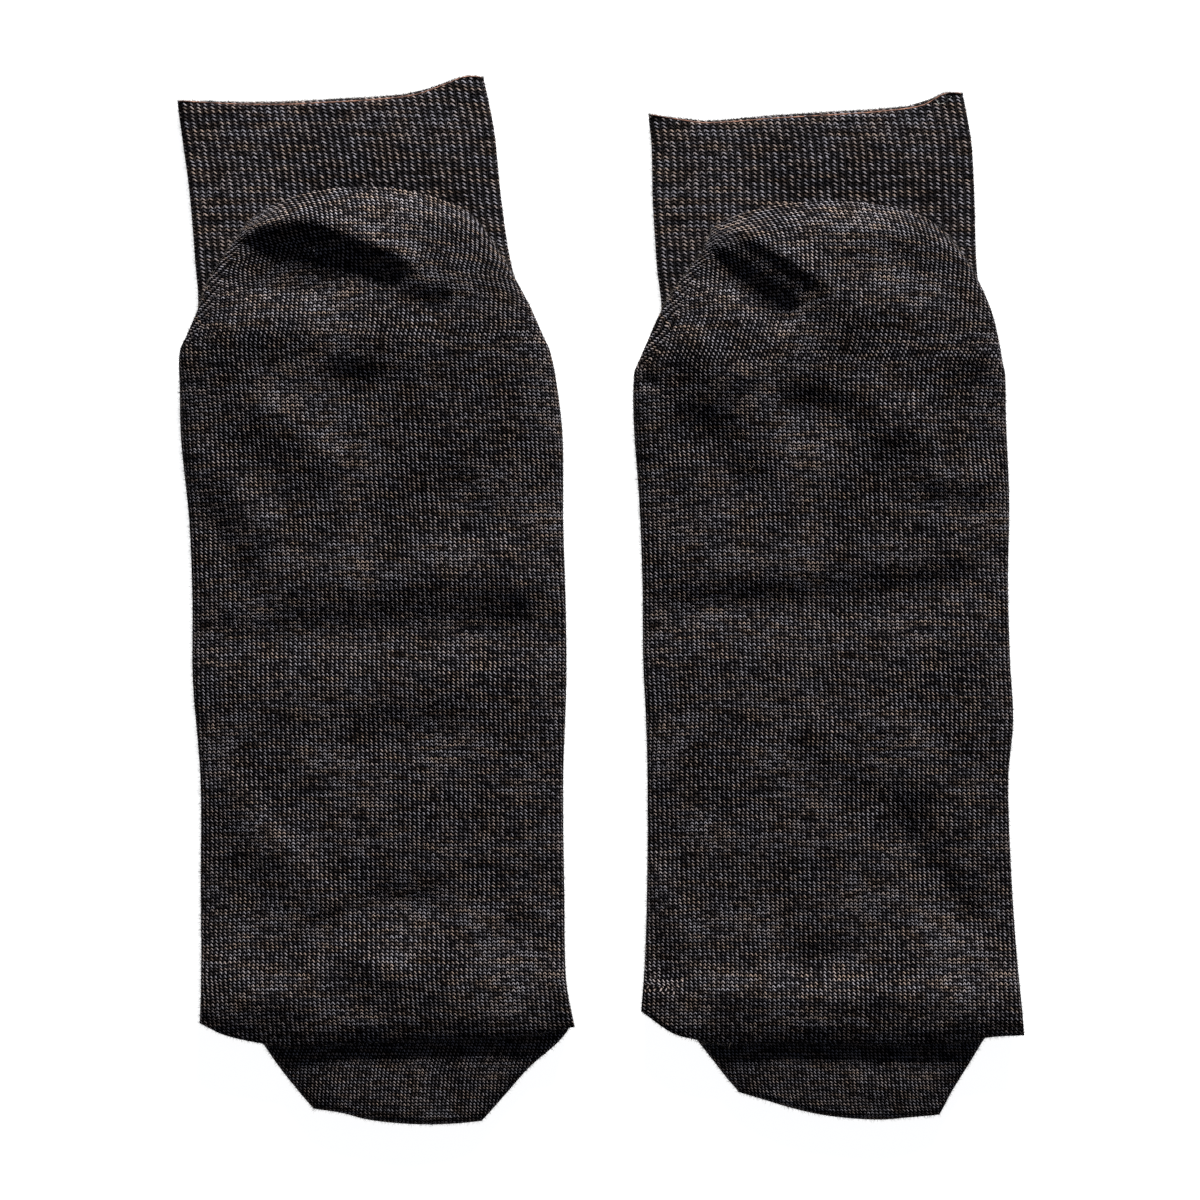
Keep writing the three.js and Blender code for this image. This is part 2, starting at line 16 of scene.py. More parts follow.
import bpy
import numpy as np
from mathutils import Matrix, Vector

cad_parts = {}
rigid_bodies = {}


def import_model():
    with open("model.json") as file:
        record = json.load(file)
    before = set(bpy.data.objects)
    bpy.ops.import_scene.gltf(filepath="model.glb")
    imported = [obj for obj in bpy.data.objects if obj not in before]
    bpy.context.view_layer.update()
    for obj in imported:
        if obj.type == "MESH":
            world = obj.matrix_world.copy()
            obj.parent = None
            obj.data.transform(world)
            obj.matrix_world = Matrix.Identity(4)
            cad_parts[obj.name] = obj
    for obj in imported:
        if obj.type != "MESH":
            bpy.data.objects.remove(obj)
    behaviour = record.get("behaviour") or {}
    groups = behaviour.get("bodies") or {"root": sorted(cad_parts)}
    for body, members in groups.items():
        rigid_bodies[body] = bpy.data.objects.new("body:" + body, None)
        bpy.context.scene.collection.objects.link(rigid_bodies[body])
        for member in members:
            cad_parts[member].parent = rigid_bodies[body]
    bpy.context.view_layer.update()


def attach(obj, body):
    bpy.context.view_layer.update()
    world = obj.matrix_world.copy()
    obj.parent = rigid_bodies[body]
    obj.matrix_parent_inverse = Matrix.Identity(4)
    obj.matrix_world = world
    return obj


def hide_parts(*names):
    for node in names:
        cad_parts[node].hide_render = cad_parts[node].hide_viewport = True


LOG = logging.getLogger("socks")
MM = 0.001
KNIT_UV = "Knit"

CLOTH = 1.4  # thickness of the knitted wool
FLAT_PAIR = 3.6  # height of two layers of cloth with a little air between them
STACK = 3.9  # where a layer that lies on a flat pair starts
EDGE_ROUND = FLAT_PAIR / 2  # radius of the fold where two layers meet
RIBS = 44  # ribs across one face of the leg
TOE_SEAM_Y = -97.0  # where the toe pocket is knitted on to the foot, under the fold
KNIT_GAP = 0.05  # between two shells that are one knitting on the real sock
INNER_GAP = 0.1  # least distance between the two inner faces of a tube
BOW_POWER = 1.2  # how late the rows of stitches take on the curve of a closed end
CROWN_POWER = 4  # how late the cloth falls from the height of its middle to that of its edges

Rows = tuple[tuple[float, ...], ...]


class Side(Enum):
    """The two layers of a tube that lies flat."""

    TOP = 1
    UNDER = -1


@dataclass(frozen=True)
class Gauge:
    """The size of one stitch.

    Attributes:
        wale: Width of a column of stitches, in millimetres.
        course: Height of a row of stitches, in millimetres.
    """

    wale: float
    course: float


@dataclass(frozen=True)
class SockShape:
    """One sock's outline, layers and folds, in millimetres.

    Attributes:
        name: Which sock it is.
        ankle_y: Where the leg and heel meet the foot.
        cuff: Heights y of the cuff's left and right corners.
        cuff_rim: Rows of (share across, rise) of the back of the cuff.
        leg: Rows of (y, left, right).
        heel: Heights y of the heel fold's left and right corners.
        heel_rise: How far the heel fold arches past its corners.
        sole: Rows of (y, left, right), from the heel fold to the toe fold.
        ears: Heights y of the toe fold's left and right corners.
        toe_fold: Rows of (share across, drop) past those two corners.
        toe: Rows of (y, left, right).
        tip: Heights y of the toe tip's left and right corners.
        tip_curve: Rows of (share across, drop) past those two corners.
        folds: Rows of (x1, y1, x2, y2, reach above, reach below, height) of ridges and troughs
            on the sole side, written from left to right.
        toe_folds: The same for the toe.
        band: Rows of (y, width) of the band along the heel's left edge where the pocket turns.
        wale_lean: How far the heel's columns of stitches lean outwards at its left corner.
        seed: Which set of stray fibres and undulations it has.
        yarn_end: The left and right side and the height y of a frayed yarn end at the cuff.
    """

    name: str
    ankle_y: float
    cuff: tuple[float, float]
    cuff_rim: Rows
    leg: Rows
    heel: tuple[float, float]
    heel_rise: float
    sole: Rows
    ears: tuple[float, float]
    toe_fold: Rows
    toe: Rows
    tip: tuple[float, float]
    tip_curve: Rows
    folds: Rows
    toe_folds: Rows
    band: Rows
    wale_lean: float
    seed: int
    yarn_end: tuple[float, ...] = ()


LEFT_SOCK = SockShape(
    name="left",
    ankle_y=62.0,
    cuff=(125.0, 130.9),
    cuff_rim=(
        (0, 0), (0.18, -1.9), (0.34, -3.0), (0.5, -3.4), (0.66, -3.6),
        (0.78, -3.1), (0.87, -1.2), (0.94, 0.4), (1, 0),
    ),
    leg=(
        (131, -105.9, -29.2), (125, -105.9, -27.9), (117, -104.9, -26.4),
        (102, -102.9, -24.9), (85, -101.5, -22.4), (73, -100.8, -18.8), (62, -103.2, -14.6),
    ),
    heel=(94.0, 94.0),
    heel_rise=9.25,
    sole=(
        (94, -88.0, -30.0), (90, -90.8, -27.2), (85, -94.2, -24.0), (79, -97.8, -20.5),
        (73, -100.1, -17.3), (66, -103.2, -14.2), (62, -105.0, -12.4), (52, -105.2, -10.5),
        (40, -105.0, -9.3), (20, -103.0, -9.2), (0, -102.2, -8.6), (-20, -102.1, -8.4),
        (-45, -100.2, -9.2), (-75, -100.1, -8.9), (-95, -99.6, -8.4), (-107, -99.9, -6.2),
    ),
    ears=(-105.6, -106.5),
    toe_fold=(
        (0, 0), (0.06, -2.7), (0.14, -4.5), (0.24, -5.7), (0.34, -5.1),
        (0.5, -3.9), (0.75, -3.0), (0.9, -1.8), (1, 0),
    ),
    toe=(
        (-97, -94.2, -9.6), (-106, -88.0, -7.4), (-110.5, -84.9, -10.2), (-117, -80.4, -17.6),
        (-124, -74.8, -23.8), (-127.3, -72.0, -26.7), (-130.6, -70.0, -29.7),
    ),
    tip=(-127.5, -130.6),
    tip_curve=(
        (0, 0), (0.17, -0.5), (0.31, -1.6), (0.46, -2.0), (0.64, -1.9), (0.82, -1.2), (1, 0),
    ),
    folds=(
        # the rolled lip below the heel fold and the hollow that it shades
        (-86, 94.6, -71, 94.4, 3.8, 2.6, 2.3),
        (-71, 94.4, -46, 83.0, 4.0, 2.6, 2.0),
        (-94, 87.0, -71, 86.6, 3.0, 6.0, -3.8),
        (-71, 86.6, -50, 81.0, 3.4, 5.6, -2.4),
        (-92, 79.5, -66, 78.5, 5.0, 5.0, -2.4),
        (-48, 75.0, -37, 72.5, 3.2, 5.0, -1.5),
        # the ridges below it
        (-96, 67.0, -42, 65.0, 3.8, 9.0, 0.8),
        (-68, 55.0, -54, 55.0, 3.6, 6.0, -1.4),
        # across the sole
        (-85, 51, -66, 33, 4.0, 8.0, 1.3),
        (-102, 38, -81, 15, 4.0, 7.0, 1.2),
        (-102, 25, -86, -1, 5.0, 6.0, -1.1),
        (-38, 32, -28, 14, 6.0, 8.0, -1.2),
        (-26, 16, -19, 0, 4.0, 6.0, 1.1),
        (-101, 4, -12, 6, 8.0, 5.0, 0.6),
        (-106, -9.0, -7, -7.0, 5.8, 9.0, -1.35),
        (-100, -21, -12, -20, 6.0, 9.0, 0.5),
        (-62, -34, -34, -33, 7.0, 11.0, -1.2),
        (-94, -44, -67, -77, 4.0, 9.0, 1.8),
        # puckers above the toes
        (-60, -76, -40, -77, 5.0, 7.0, -1.4),
        (-66, -87, -48, -94, 3.4, 5.0, 1.4),
        (-92, -99, -72, -100, 3.4, 4.0, 0.9),
        (-19, -80, -13, -104, 4.0, 9.0, -1.5),
    ),
    toe_folds=((-82, -121, -42, -126, 4.0, 4.0, 0.5),),
    band=((63, 1.0), (67, 3.2), (69, 3.4), (73.5, 3.8), (81, 3.9), (88.3, 3.6), (94, 3.0)),
    wale_lean=0.95,
    seed=11,
)

RIGHT_SOCK = SockShape(
    name="right",
    ankle_y=56.7,
    cuff=(121.6, 126.9),
    cuff_rim=(
        (0, 0), (0.1, -1.9), (0.19, -3.2), (0.4, -3.2), (0.6, -3.3),
        (0.75, -3.2), (0.87, -2.4), (0.94, 0.1), (1, 0),
    ),
    leg=(
        (127, 12.2, 90.9), (121, 12.2, 92.1), (114, 12.9, 93.2), (100, 13.2, 93.9),
        (84, 14.2, 94.4), (70, 15.2, 96.2), (56.7, 10.4, 99.7),
    ),
    heel=(92.8, 93.8),
    heel_rise=6.2,
    sole=(
        (94, 28.6, 83.3), (87, 25.6, 89.8), (80, 20.5, 94.2), (72, 15.2, 97.7),
        (64.5, 11.8, 99.6), (59, 9.4, 100.6), (56.7, 8.5, 101.2), (45, 8.4, 101.7),
        (25, 9.8, 102.6), (5, 10.6, 102.3), (-15, 10.8, 102.8), (-30, 11.5, 103.6),
        (-45, 11.9, 102.4), (-70, 11.8, 103.2), (-90, 11.2, 104.5), (-109, 9.7, 105.9),
    ),
    ears=(-102.6, -108.6),
    toe_fold=(
        (0, 0), (0.08, -4.9), (0.14, -6.2), (0.21, -6.8), (0.42, -5.3),
        (0.7, -4.2), (0.82, -2.7), (0.92, -0.9), (1, 0),
    ),
    toe=(
        (-94, 12.4, 105.0), (-100, 16.4, 102.0), (-106, 21.0, 98.9), (-110.3, 24.3, 96.1),
        (-116.5, 29.2, 92.3), (-120, 31.9, 90.1), (-123.3, 34.6, 88.1), (-129.2, 36.0, 85.0),
    ),
    tip=(-123.3, -129.0),
    tip_curve=(
        (0, 0), (0.13, -1.2), (0.27, -2.5), (0.41, -3.3), (0.55, -3.4),
        (0.7, -2.9), (0.85, -1.5), (1, 0),
    ),
    folds=(
        # the dent below the heel fold's left corner, and the ridges beside it
        (31, 94.5, 56, 78.5, 3.8, 2.4, 1.8),
        (25, 86.5, 48, 71.0, 3.0, 5.6, -3.6),
        (19, 67, 36, 54.0, 4.0, 9.0, 1.7),
        (54, 78, 68, 71, 4.0, 6.0, 1.0),
        (68, 86, 88, 80, 5.0, 8.0, -1.2),
        (66, 54, 73, 39, 4.0, 5.0, 1.0),
        (45, 48.0, 62, 47, 4.4, 8.0, -1.5),
        (20, 45, 34, 37, 5.0, 7.0, -1.4),
        (32, 33, 40, 25, 5.0, 7.0, -1.2),
        (10.5, 54.8, 13.5, 54.2, 1.8, 1.8, -1.6),
        # across the sole
        (77, 50, 85, 28, 3.6, 6.0, 1.5),
        (94, 58, 98, 34, 5.0, 6.0, -1.6),
        (92, 26, 99, 8, 5.0, 6.0, -1.6),
        (14, 4, 100, 13, 8.0, 5.0, 0.4),
        (6, -4.7, 106, 4.7, 5.4, 9.0, -1.2),
        (50, -30, 60, -40, 4.0, 7.0, 0.7),
        (74, -27, 81, -49, 4.0, 6.0, 1.1),
        (60, -50, 74, -51, 5.0, 7.0, -0.9),
        (74, -55, 95, -83, 5.0, 7.0, -1.7),
        (10, -48, 18, -66, 5.0, 6.0, -1.3),
        (12, -66, 22, -86, 4.0, 6.0, 1.1),
        (10, -86, 22, -104, 5.0, 7.0, -2.2),
        (44, -90, 66, -90, 6.0, 7.0, -1.6),
        (28, -98, 92, -99, 4.0, 4.0, 1.0),
    ),
    toe_folds=((62, -121, 84, -122, 4.0, 4.0, 0.7),),
    band=((58, 1.2), (62, 4.0), (64.5, 4.6), (68, 4.9), (74.5, 4.3), (80.5, 3.8), (90.5, 2.8)),
    wale_lean=0.95,
    seed=23,
    yarn_end=(84.6, 87.4, 124.6),
)

# Rows of (distance from the ankle line, height at the edges, height along the middle).
SOLE_HEIGHTS: Rows = (
    (42, 7.4, 9.6), (28, 7.4, 10.0), (10, 7.4, 9.2), (0, 7.2, 8.4), (-8, 6.4, 7.8),
    (-20, 5.3, 6.8), (-36, 4.3, 5.8), (-56, 3.7, 5.2), (-76, 3.6, 4.9), (-136, 3.6, 4.9), (-148, 5.0, 6.0),
    (-158, 7.4, 7.5), (-175, 7.4, 7.6),
)

# Rows of (distance from the ankle line, height where the top and under layers meet).
SIDE_HEIGHTS: Rows = (
    (42, 5.7), (9, 5.7), (0, 4.8), (-8, 3.2), (-20, 2.0), (-36, 1.8),
    (-136, 1.8), (-148, 3.2), (-158, 5.5), (-175, 5.7),
)


def smoothstep(value: np.ndarray, low: float, high: float) -> np.ndarray:
    """Return 0 below low, 1 above high and an eased value between."""
    share = np.clip((value - low) / (high - low), 0, 1)
    return share * share * (3 - 2 * share)


def lerp(start: Any, end: Any, share: Any) -> Any:
    """Return the value that lies share of the way from start to end."""
    return start + (end - start) * share


def rounded(distance: np.ndarray, radius: Any) -> np.ndarray:
    """Return the height of a quarter circle, from 0 at its rim to 1 past its radius."""
    share = np.clip(distance / radius, 0, 1)
    return np.sqrt(1 - (1 - share) ** 2)


class EasedTable:
    """A column of a table between its rows, eased so that no row makes a corner."""

    def __init__(self, rows: Rows, column: int = 1) -> None:
        """Sort the rows by their first column and work out the slope at each.

        Args:
            rows: The table's rows.
            column: Which column holds the values.
        """
        ordered = np.array(sorted(rows), float)
        self.keys, self.values = ordered[:, 0], ordered[:, column]
        before = np.maximum(np.arange(len(ordered)) - 1, 0)
        after = np.minimum(np.arange(len(ordered)) + 1, len(ordered) - 1)
        self.slopes = (self.values[after] - self.values[before]) / (self.keys[after] - self.keys[before])

    def __call__(self, at: Any) -> np.ndarray:
        """Return the column's value at each key in at."""
        at = np.clip(at, self.keys[0], self.keys[-1])
        i = np.clip(np.searchsorted(self.keys, at, side="right") - 1, 0, len(self.keys) - 2)
        span = self.keys[i + 1] - self.keys[i]
        u = (at - self.keys[i]) / span
        return (
            (2 * u**3 - 3 * u**2 + 1) * self.values[i]
            + (u**3 - 2 * u**2 + u) * span * self.slopes[i]
            + (3 * u**2 - 2 * u**3) * self.values[i + 1]
            + (u**3 - u**2) * span * self.slopes[i + 1]
        )


def fold_lift(folds: Rows, x: np.ndarray, y: np.ndarray) -> np.ndarray:
    """Return how far soft folds lift or sink the cloth.

    Args:
        folds: Rows of (x1, y1, x2, y2, reach above, reach below, height), from left to right.
        x: Places on the cloth.
        y: Places on the cloth.

    Returns:
        The sum of the folds' heights at each place.
    """
    lift = np.zeros(np.broadcast(x, y).shape)
    for x1, y1, x2, y2, above, below, height in folds:
        dx, dy = x2 - x1, y2 - y1
        length = math.hypot(dx, dy)
        along = ((x - x1) * dx + (y - y1) * dy) / length
        aside = ((x - x1) * dy - (y - y1) * dx) / length
        past = np.maximum(np.maximum(-along, along - length), 0)
        fade = smoothstep(np.minimum(along, length - along), -above, above)
        reach = np.where(aside < 0, above, below)
        lift += height * fade * np.exp(-((aside / reach) ** 2) - (past / above) ** 2)
    return lift


def undulation(x: np.ndarray, y: np.ndarray, seed: int, shortest: float, longest: float) -> np.ndarray:
    """Return the faint unevenness of soft cloth, mostly between -1 and 1.

    Args:
        x: Places on the cloth.
        y: Places on the cloth.
        seed: Which set of waves to use.
        shortest: Length of the shortest wave.
        longest: Length of the longest wave.

    Returns:
        The unevenness at each place.
    """
    rng = np.random.default_rng(seed)
    waves = 16
    total = np.zeros(np.broadcast(x, y).shape)
    for _ in range(waves):
        length, heading = rng.uniform(shortest, longest), rng.uniform(0, math.pi)
        phase = rng.uniform(0, 2 * math.pi)
        total += np.sin(2 * math.pi * (x * math.cos(heading) + y * math.sin(heading)) / length + phase)
    return total / math.sqrt(2 * waves)


@dataclass
class Layer:
    """A grid of points on one layer of cloth.

    Attributes:
        points: Rows by columns by three, in millimetres.
        across: Rows by columns, each point's share of the way across.
        knit: Rows by columns by two, each point's place in the knitting, in stitches.
        ids: Rows by columns, the points' numbers in the mesh, or -1 before they are added.
    """

    points: np.ndarray
    across: np.ndarray
    knit: np.ndarray
    ids: np.ndarray = field(init=False)

    def __post_init__(self) -> None:
        """Start with no numbers."""
        self.ids = np.full(self.across.shape, -1)

    def meet(self, other: "Layer", first: bool = False, last: bool = False) -> None:
        """Take both side columns from another layer, and its first or last row where asked."""
        for column in (0, -1):
            self.ids[:, column] = other.ids[:, column]
        for wanted, row in ((first, 0), (last, -1)):
            if wanted:
                self.ids[row] = other.ids[row]


class ClothMesh:
    """Collects layers of cloth and turns them into one mesh object."""

    def __init__(self) -> None:
        """Start with no points and no faces."""
        self.points: list[np.ndarray] = []
        self.count = 0
        self.faces: list[list[int]] = []
        self.knit: list[np.ndarray] = []

    def add_points(self, layer: Layer) -> Layer:
        """Number the layer's points that it doesn't share with another."""
        new = layer.ids < 0
        fresh = layer.points[new]
        layer.ids[new] = np.arange(self.count, self.count + len(fresh))
        self.points.append(fresh)
        self.count += len(fresh)
        return layer

    def add_faces(self, ids: np.ndarray, knit: np.ndarray, faces_up: bool) -> None:
        """Add the faces between the rows and columns of a grid of points.

        Args:
            ids: Rows by columns of point numbers, with the highest y first.
            knit: Rows by columns by two, each point's place in the knitting.
            faces_up: Whether the faces point up.
        """
        corners = [(0, 0), (1, 0), (1, 1), (0, 1)] if faces_up else [(0, 0), (0, 1), (1, 1), (1, 0)]
        rows, columns = (size - 1 for size in ids.shape)
        pick = [(slice(r, rows + r), slice(c, columns + c)) for r, c in corners]
        self.faces += np.stack([ids[p] for p in pick], -1).reshape(-1, 4).tolist()
        self.knit.append(np.stack([knit[p] for p in pick], -2).reshape(-1, 2))

    def add_layer(self, layer: Layer, faces_up: bool) -> Layer:
        """Add a layer's points and its faces."""
        self.add_points(layer)
        self.add_faces(layer.ids, layer.knit, faces_up)
        return layer

    def join(self, outer: Layer, inner: Layer, row: int, side: Side) -> None:
        """Close the rim between the outer and inner layer at their first or last row.

        Args:
            outer: The outer layer.
            inner: The inner layer, which may have fewer columns.
            row: The row to join, 0 or -1.
            side: Which side of the tube the two layers are on.
        """
        flip = (row == 0) == (side is Side.UNDER)
        ids, inner_ids = outer.ids[row], inner.ids[row]
        i = j = 0
        while i < len(ids) - 1 or j < len(inner_ids) - 1:
            inner_ends = j == len(inner_ids) - 1
            outer_next = i < len(ids) - 1 and (
                inner_ends or outer.across[row, i + 1] <= inner.across[row, j + 1]
            )
            if outer_next:
                face = [ids[i], ids[i + 1], inner_ids[j]]
                i += 1
            else:
                face = [ids[i], inner_ids[j + 1], inner_ids[j]]
                j += 1
            self.faces.append([int(k) for k in (face[::-1] if flip else face)])
            self.knit.append(np.repeat(outer.knit[row, i][None], 3, axis=0))

    def build(self, name: str) -> bpy.types.Object:
        """Return the mesh as an object, in metres."""
        knit = np.concatenate(self.knit).astype(np.float32)
        return mesh_object(name, np.concatenate(self.points) * MM, self.faces, knit)


def mesh_object(
    name: str, points: np.ndarray, faces: Sequence[Sequence[int]], knit: np.ndarray | None = None
) -> bpy.types.Object:
    """Return a smooth mesh object that is linked to the scene.

    Args:
        name: The object's name.
        points: The points, in metres.
        faces: The point numbers of each face.
        knit: Each face corner's place in the knitting.

    Returns:
        The object.
    """
    mesh = bpy.data.meshes.new(name)
    mesh.from_pydata(points.tolist(), [], faces)
    if knit is not None:
        mesh.uv_layers.new(name=KNIT_UV)
        mesh.uv_layers[KNIT_UV].uv.foreach_set("vector", knit.ravel())
    mesh.shade_smooth()
    mesh.update()
    piece = bpy.data.objects.new(name, mesh)
    bpy.context.scene.collection.objects.link(piece)
    return piece


@dataclass
class KnittedTube:
    """A stretch of a sock: a knitted tube that lies flat as two layers of cloth.

    Attributes:
        shape: The sock's sizes.
        gauge: The size of a stitch.
        row_step: Distance between two rows of points, in millimetres.
        column_step: Distance between two columns of points, in millimetres.
        inner_columns: How many columns the plain inner layers have between their round edges.
        inner_step: Distance between two rows of the inner layers.
    """

    shape: SockShape
    gauge: Gauge
    row_step: float = 0.8
    column_step: float = 0.8
    inner_columns: int = 12
    inner_step: float = 6.0

    part = ""
    sections = ()
    start = (0.0, 0.0)
    end = (0.0, 0.0)
    edge_shares = (0, 0.03, 0.12, 0.28, 0.55, 1)
    rise_share = 1.0

    def __post_init__(self) -> None:
        """Prepare the tables of the two side edges."""
        self.left_edge = EasedTable(self.sections, 1)
        self.right_edge = EasedTable(self.sections, 2)
        self.widest = max(right - left for _, left, right in self.sections)
        self.length = sum(self.start) / 2 - sum(self.end) / 2

    def bow(self, across: np.ndarray, along: np.ndarray) -> np.ndarray:
        """Return how far a row of stitches bows up or down from the line between its ends."""
        return np.zeros(np.broadcast(across, along).shape)

    def top(self, x: np.ndarray, y: np.ndarray, across: np.ndarray) -> np.ndarray:
        """Return the height of the top layer."""
        return np.full(np.broadcast(x, y).shape, FLAT_PAIR)

    def middle(self, y: np.ndarray) -> np.ndarray:
        """Return the height where the two layers meet at the sides."""
        return np.full(np.shape(y), EDGE_ROUND)

    def radius(self, y: np.ndarray) -> np.ndarray:
        """Return how far in from its side edge the cloth is rounded."""
        return np.full(np.shape(y), EDGE_ROUND)

    def end_bulge(self, across: np.ndarray, y: np.ndarray, inset: float) -> np.ndarray:
        """Return how full the tube is near its closed ends, from 0 to 1."""
        return np.ones(np.broadcast(across, y).shape)

    def top_relief(self, across: np.ndarray, inset: float) -> np.ndarray:
        """Return how far the knitting stands up from the top layer's mean face."""
        return np.zeros(across.shape)

    def under_relief(self, across: np.ndarray, inset: float) -> np.ndarray:
        """Return how far the knitting stands up from the under layer's lowest face."""
        return np.zeros(across.shape)

    def place(self, across: Any, along: Any) -> tuple[np.ndarray, np.ndarray]:
        """Return x and y at a share of the way across and along the tube."""
        left_y = lerp(self.start[0], self.end[0], along)
        right_y = lerp(self.start[1], self.end[1], along)
        x = lerp(self.left_edge(left_y), self.right_edge(right_y), across)
        return x, lerp(left_y, right_y, across) + self.bow(np.asarray(across), np.asarray(along))

    def along_at(self, y: float) -> float:
        """Return the share along the tube at which its middle line reaches y."""
        return (sum(self.start) / 2 - y) / self.length

    def columns(self, width: np.ndarray, radius: np.ndarray, inset: float) -> np.ndarray:
        """Return where the columns of points stand: close together round the edges, even between.

        Args:
            width: Each row's width.
            radius: How far in from its side edges each row is rounded.
            inset: How far inside the outer face the layer lies.

        Returns:
            Rows by columns, each point's share of the way across.
        """
        edge = np.array(self.edge_shares) * (radius - inset) / (width - 2 * inset)
        count = self.inner_columns if inset else int(self.widest / self.column_step)
        between = np.arange(1, count) / count
        return np.hstack([edge, lerp(edge[:, -1:], 1 - edge[:, -1:], between), 1 - edge[:, ::-1]])

    def layer(self, side: Side, along: np.ndarray, floor: float = 0.0, inset: float = 0.0) -> Layer:
        """Return the points of one layer.

        Args:
            side: The top or the under layer.
            along: Each row's share of the way along the tube.
            floor: The height that the under layer lies at.
            inset: How far inside the outer face the layer lies.

        Returns:
            The layer.
        """
        along = along[:, None]
        row_x, row_y = self.place(np.array([0.0, 1.0]), along)
        width = row_x[:, 1:] - row_x[:, :1]
        mean_y = row_y.mean(axis=1, keepdims=True)
        radius = self.radius(mean_y)
        across = self.columns(width, radius, inset)
        shown = inset / width + across * (1 - 2 * inset / width)
        x, y = self.place(shown, along)
        middle = self.middle(mean_y)
        from_side = np.minimum(across, 1 - across) * (width - 2 * inset)
        bulge = rounded(from_side, radius - inset) * self.end_bulge(shown, y, inset)
        under = middle - (middle - floor - inset) * bulge
        if side is Side.UNDER:
            z = under + self.under_relief(shown, inset)
        else:
            z = middle + (self.top(x, y, shown) - inset - middle) * bulge + self.top_relief(shown, inset)
            z = np.maximum(z, under) if inset else z
        points = np.stack([x, y, z], -1)
        return Layer(points, across, self.knit_places(points, shown))

    def knit_places(self, points: np.ndarray, across: np.ndarray) -> np.ndarray:
        """Return each point's place in the knitting, in stitches, measured over the cloth."""
        x, y, z = np.moveaxis(points, -1, 0)
        middle = x.shape[1] // 2
        over = np.hypot(np.diff(x, axis=1), np.diff(z, axis=1))
        wale = np.concatenate([np.zeros((len(x), 1)), np.cumsum(over, axis=1)], axis=1)
        wale -= wale[:, middle : middle + 1]
        down = np.hypot(np.diff(y, axis=0), self.rise_share * np.diff(z, axis=0))
        course = np.concatenate([np.zeros((1, x.shape[1])), np.cumsum(down, axis=0)], axis=0)
        return np.stack([wale / self.gauge.wale, (y[:1] - course) / self.gauge.course], -1)

    def rows(
        self, first: float, last: float, step: float, round_first: bool, round_last: bool
    ) -> np.ndarray:
        """Return the rows' shares along the tube, closer together round a closed end.

        Args:
            first: The first row's share.
            last: The last row's share.
            step: Distance between two rows.
            round_first: Whether the tube is closed at the first row.
            round_last: Whether it is closed at the last row.

        Returns:
            Each row's share of the way along the tube.
        """
        near = np.array(self.edge_shares) * EDGE_ROUND / self.length
        head = first + near if round_first else np.array([first])
        tail = last - near[::-1] if round_last else np.array([last])
        count = max(2, round((tail[0] - head[-1]) * self.length / step))
        return np.concatenate([head, lerp(head[-1], tail[0], np.arange(1, count) / count), tail])

    def finish(
        self, cloth: ClothMesh, wool: bpy.types.Material, slot: str, *nodes: str
    ) -> bpy.types.Object:
        """Return the stretch as an object with its finish, in place of its solids.

        Args:
            cloth: The stretch's layers.
            wool: The finish.
            slot: The record's material slot; not used.
            *nodes: The solids that it stands for, without the sock's name.

        Returns:
            The object.
        """
        piece = cloth.build(f"{self.shape.name}_{self.part}_knit")
        piece.data.materials.append(wool)
        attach(piece, "root")
        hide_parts(*(f"{self.shape.name}_{node}" for node in nodes))
        return piece


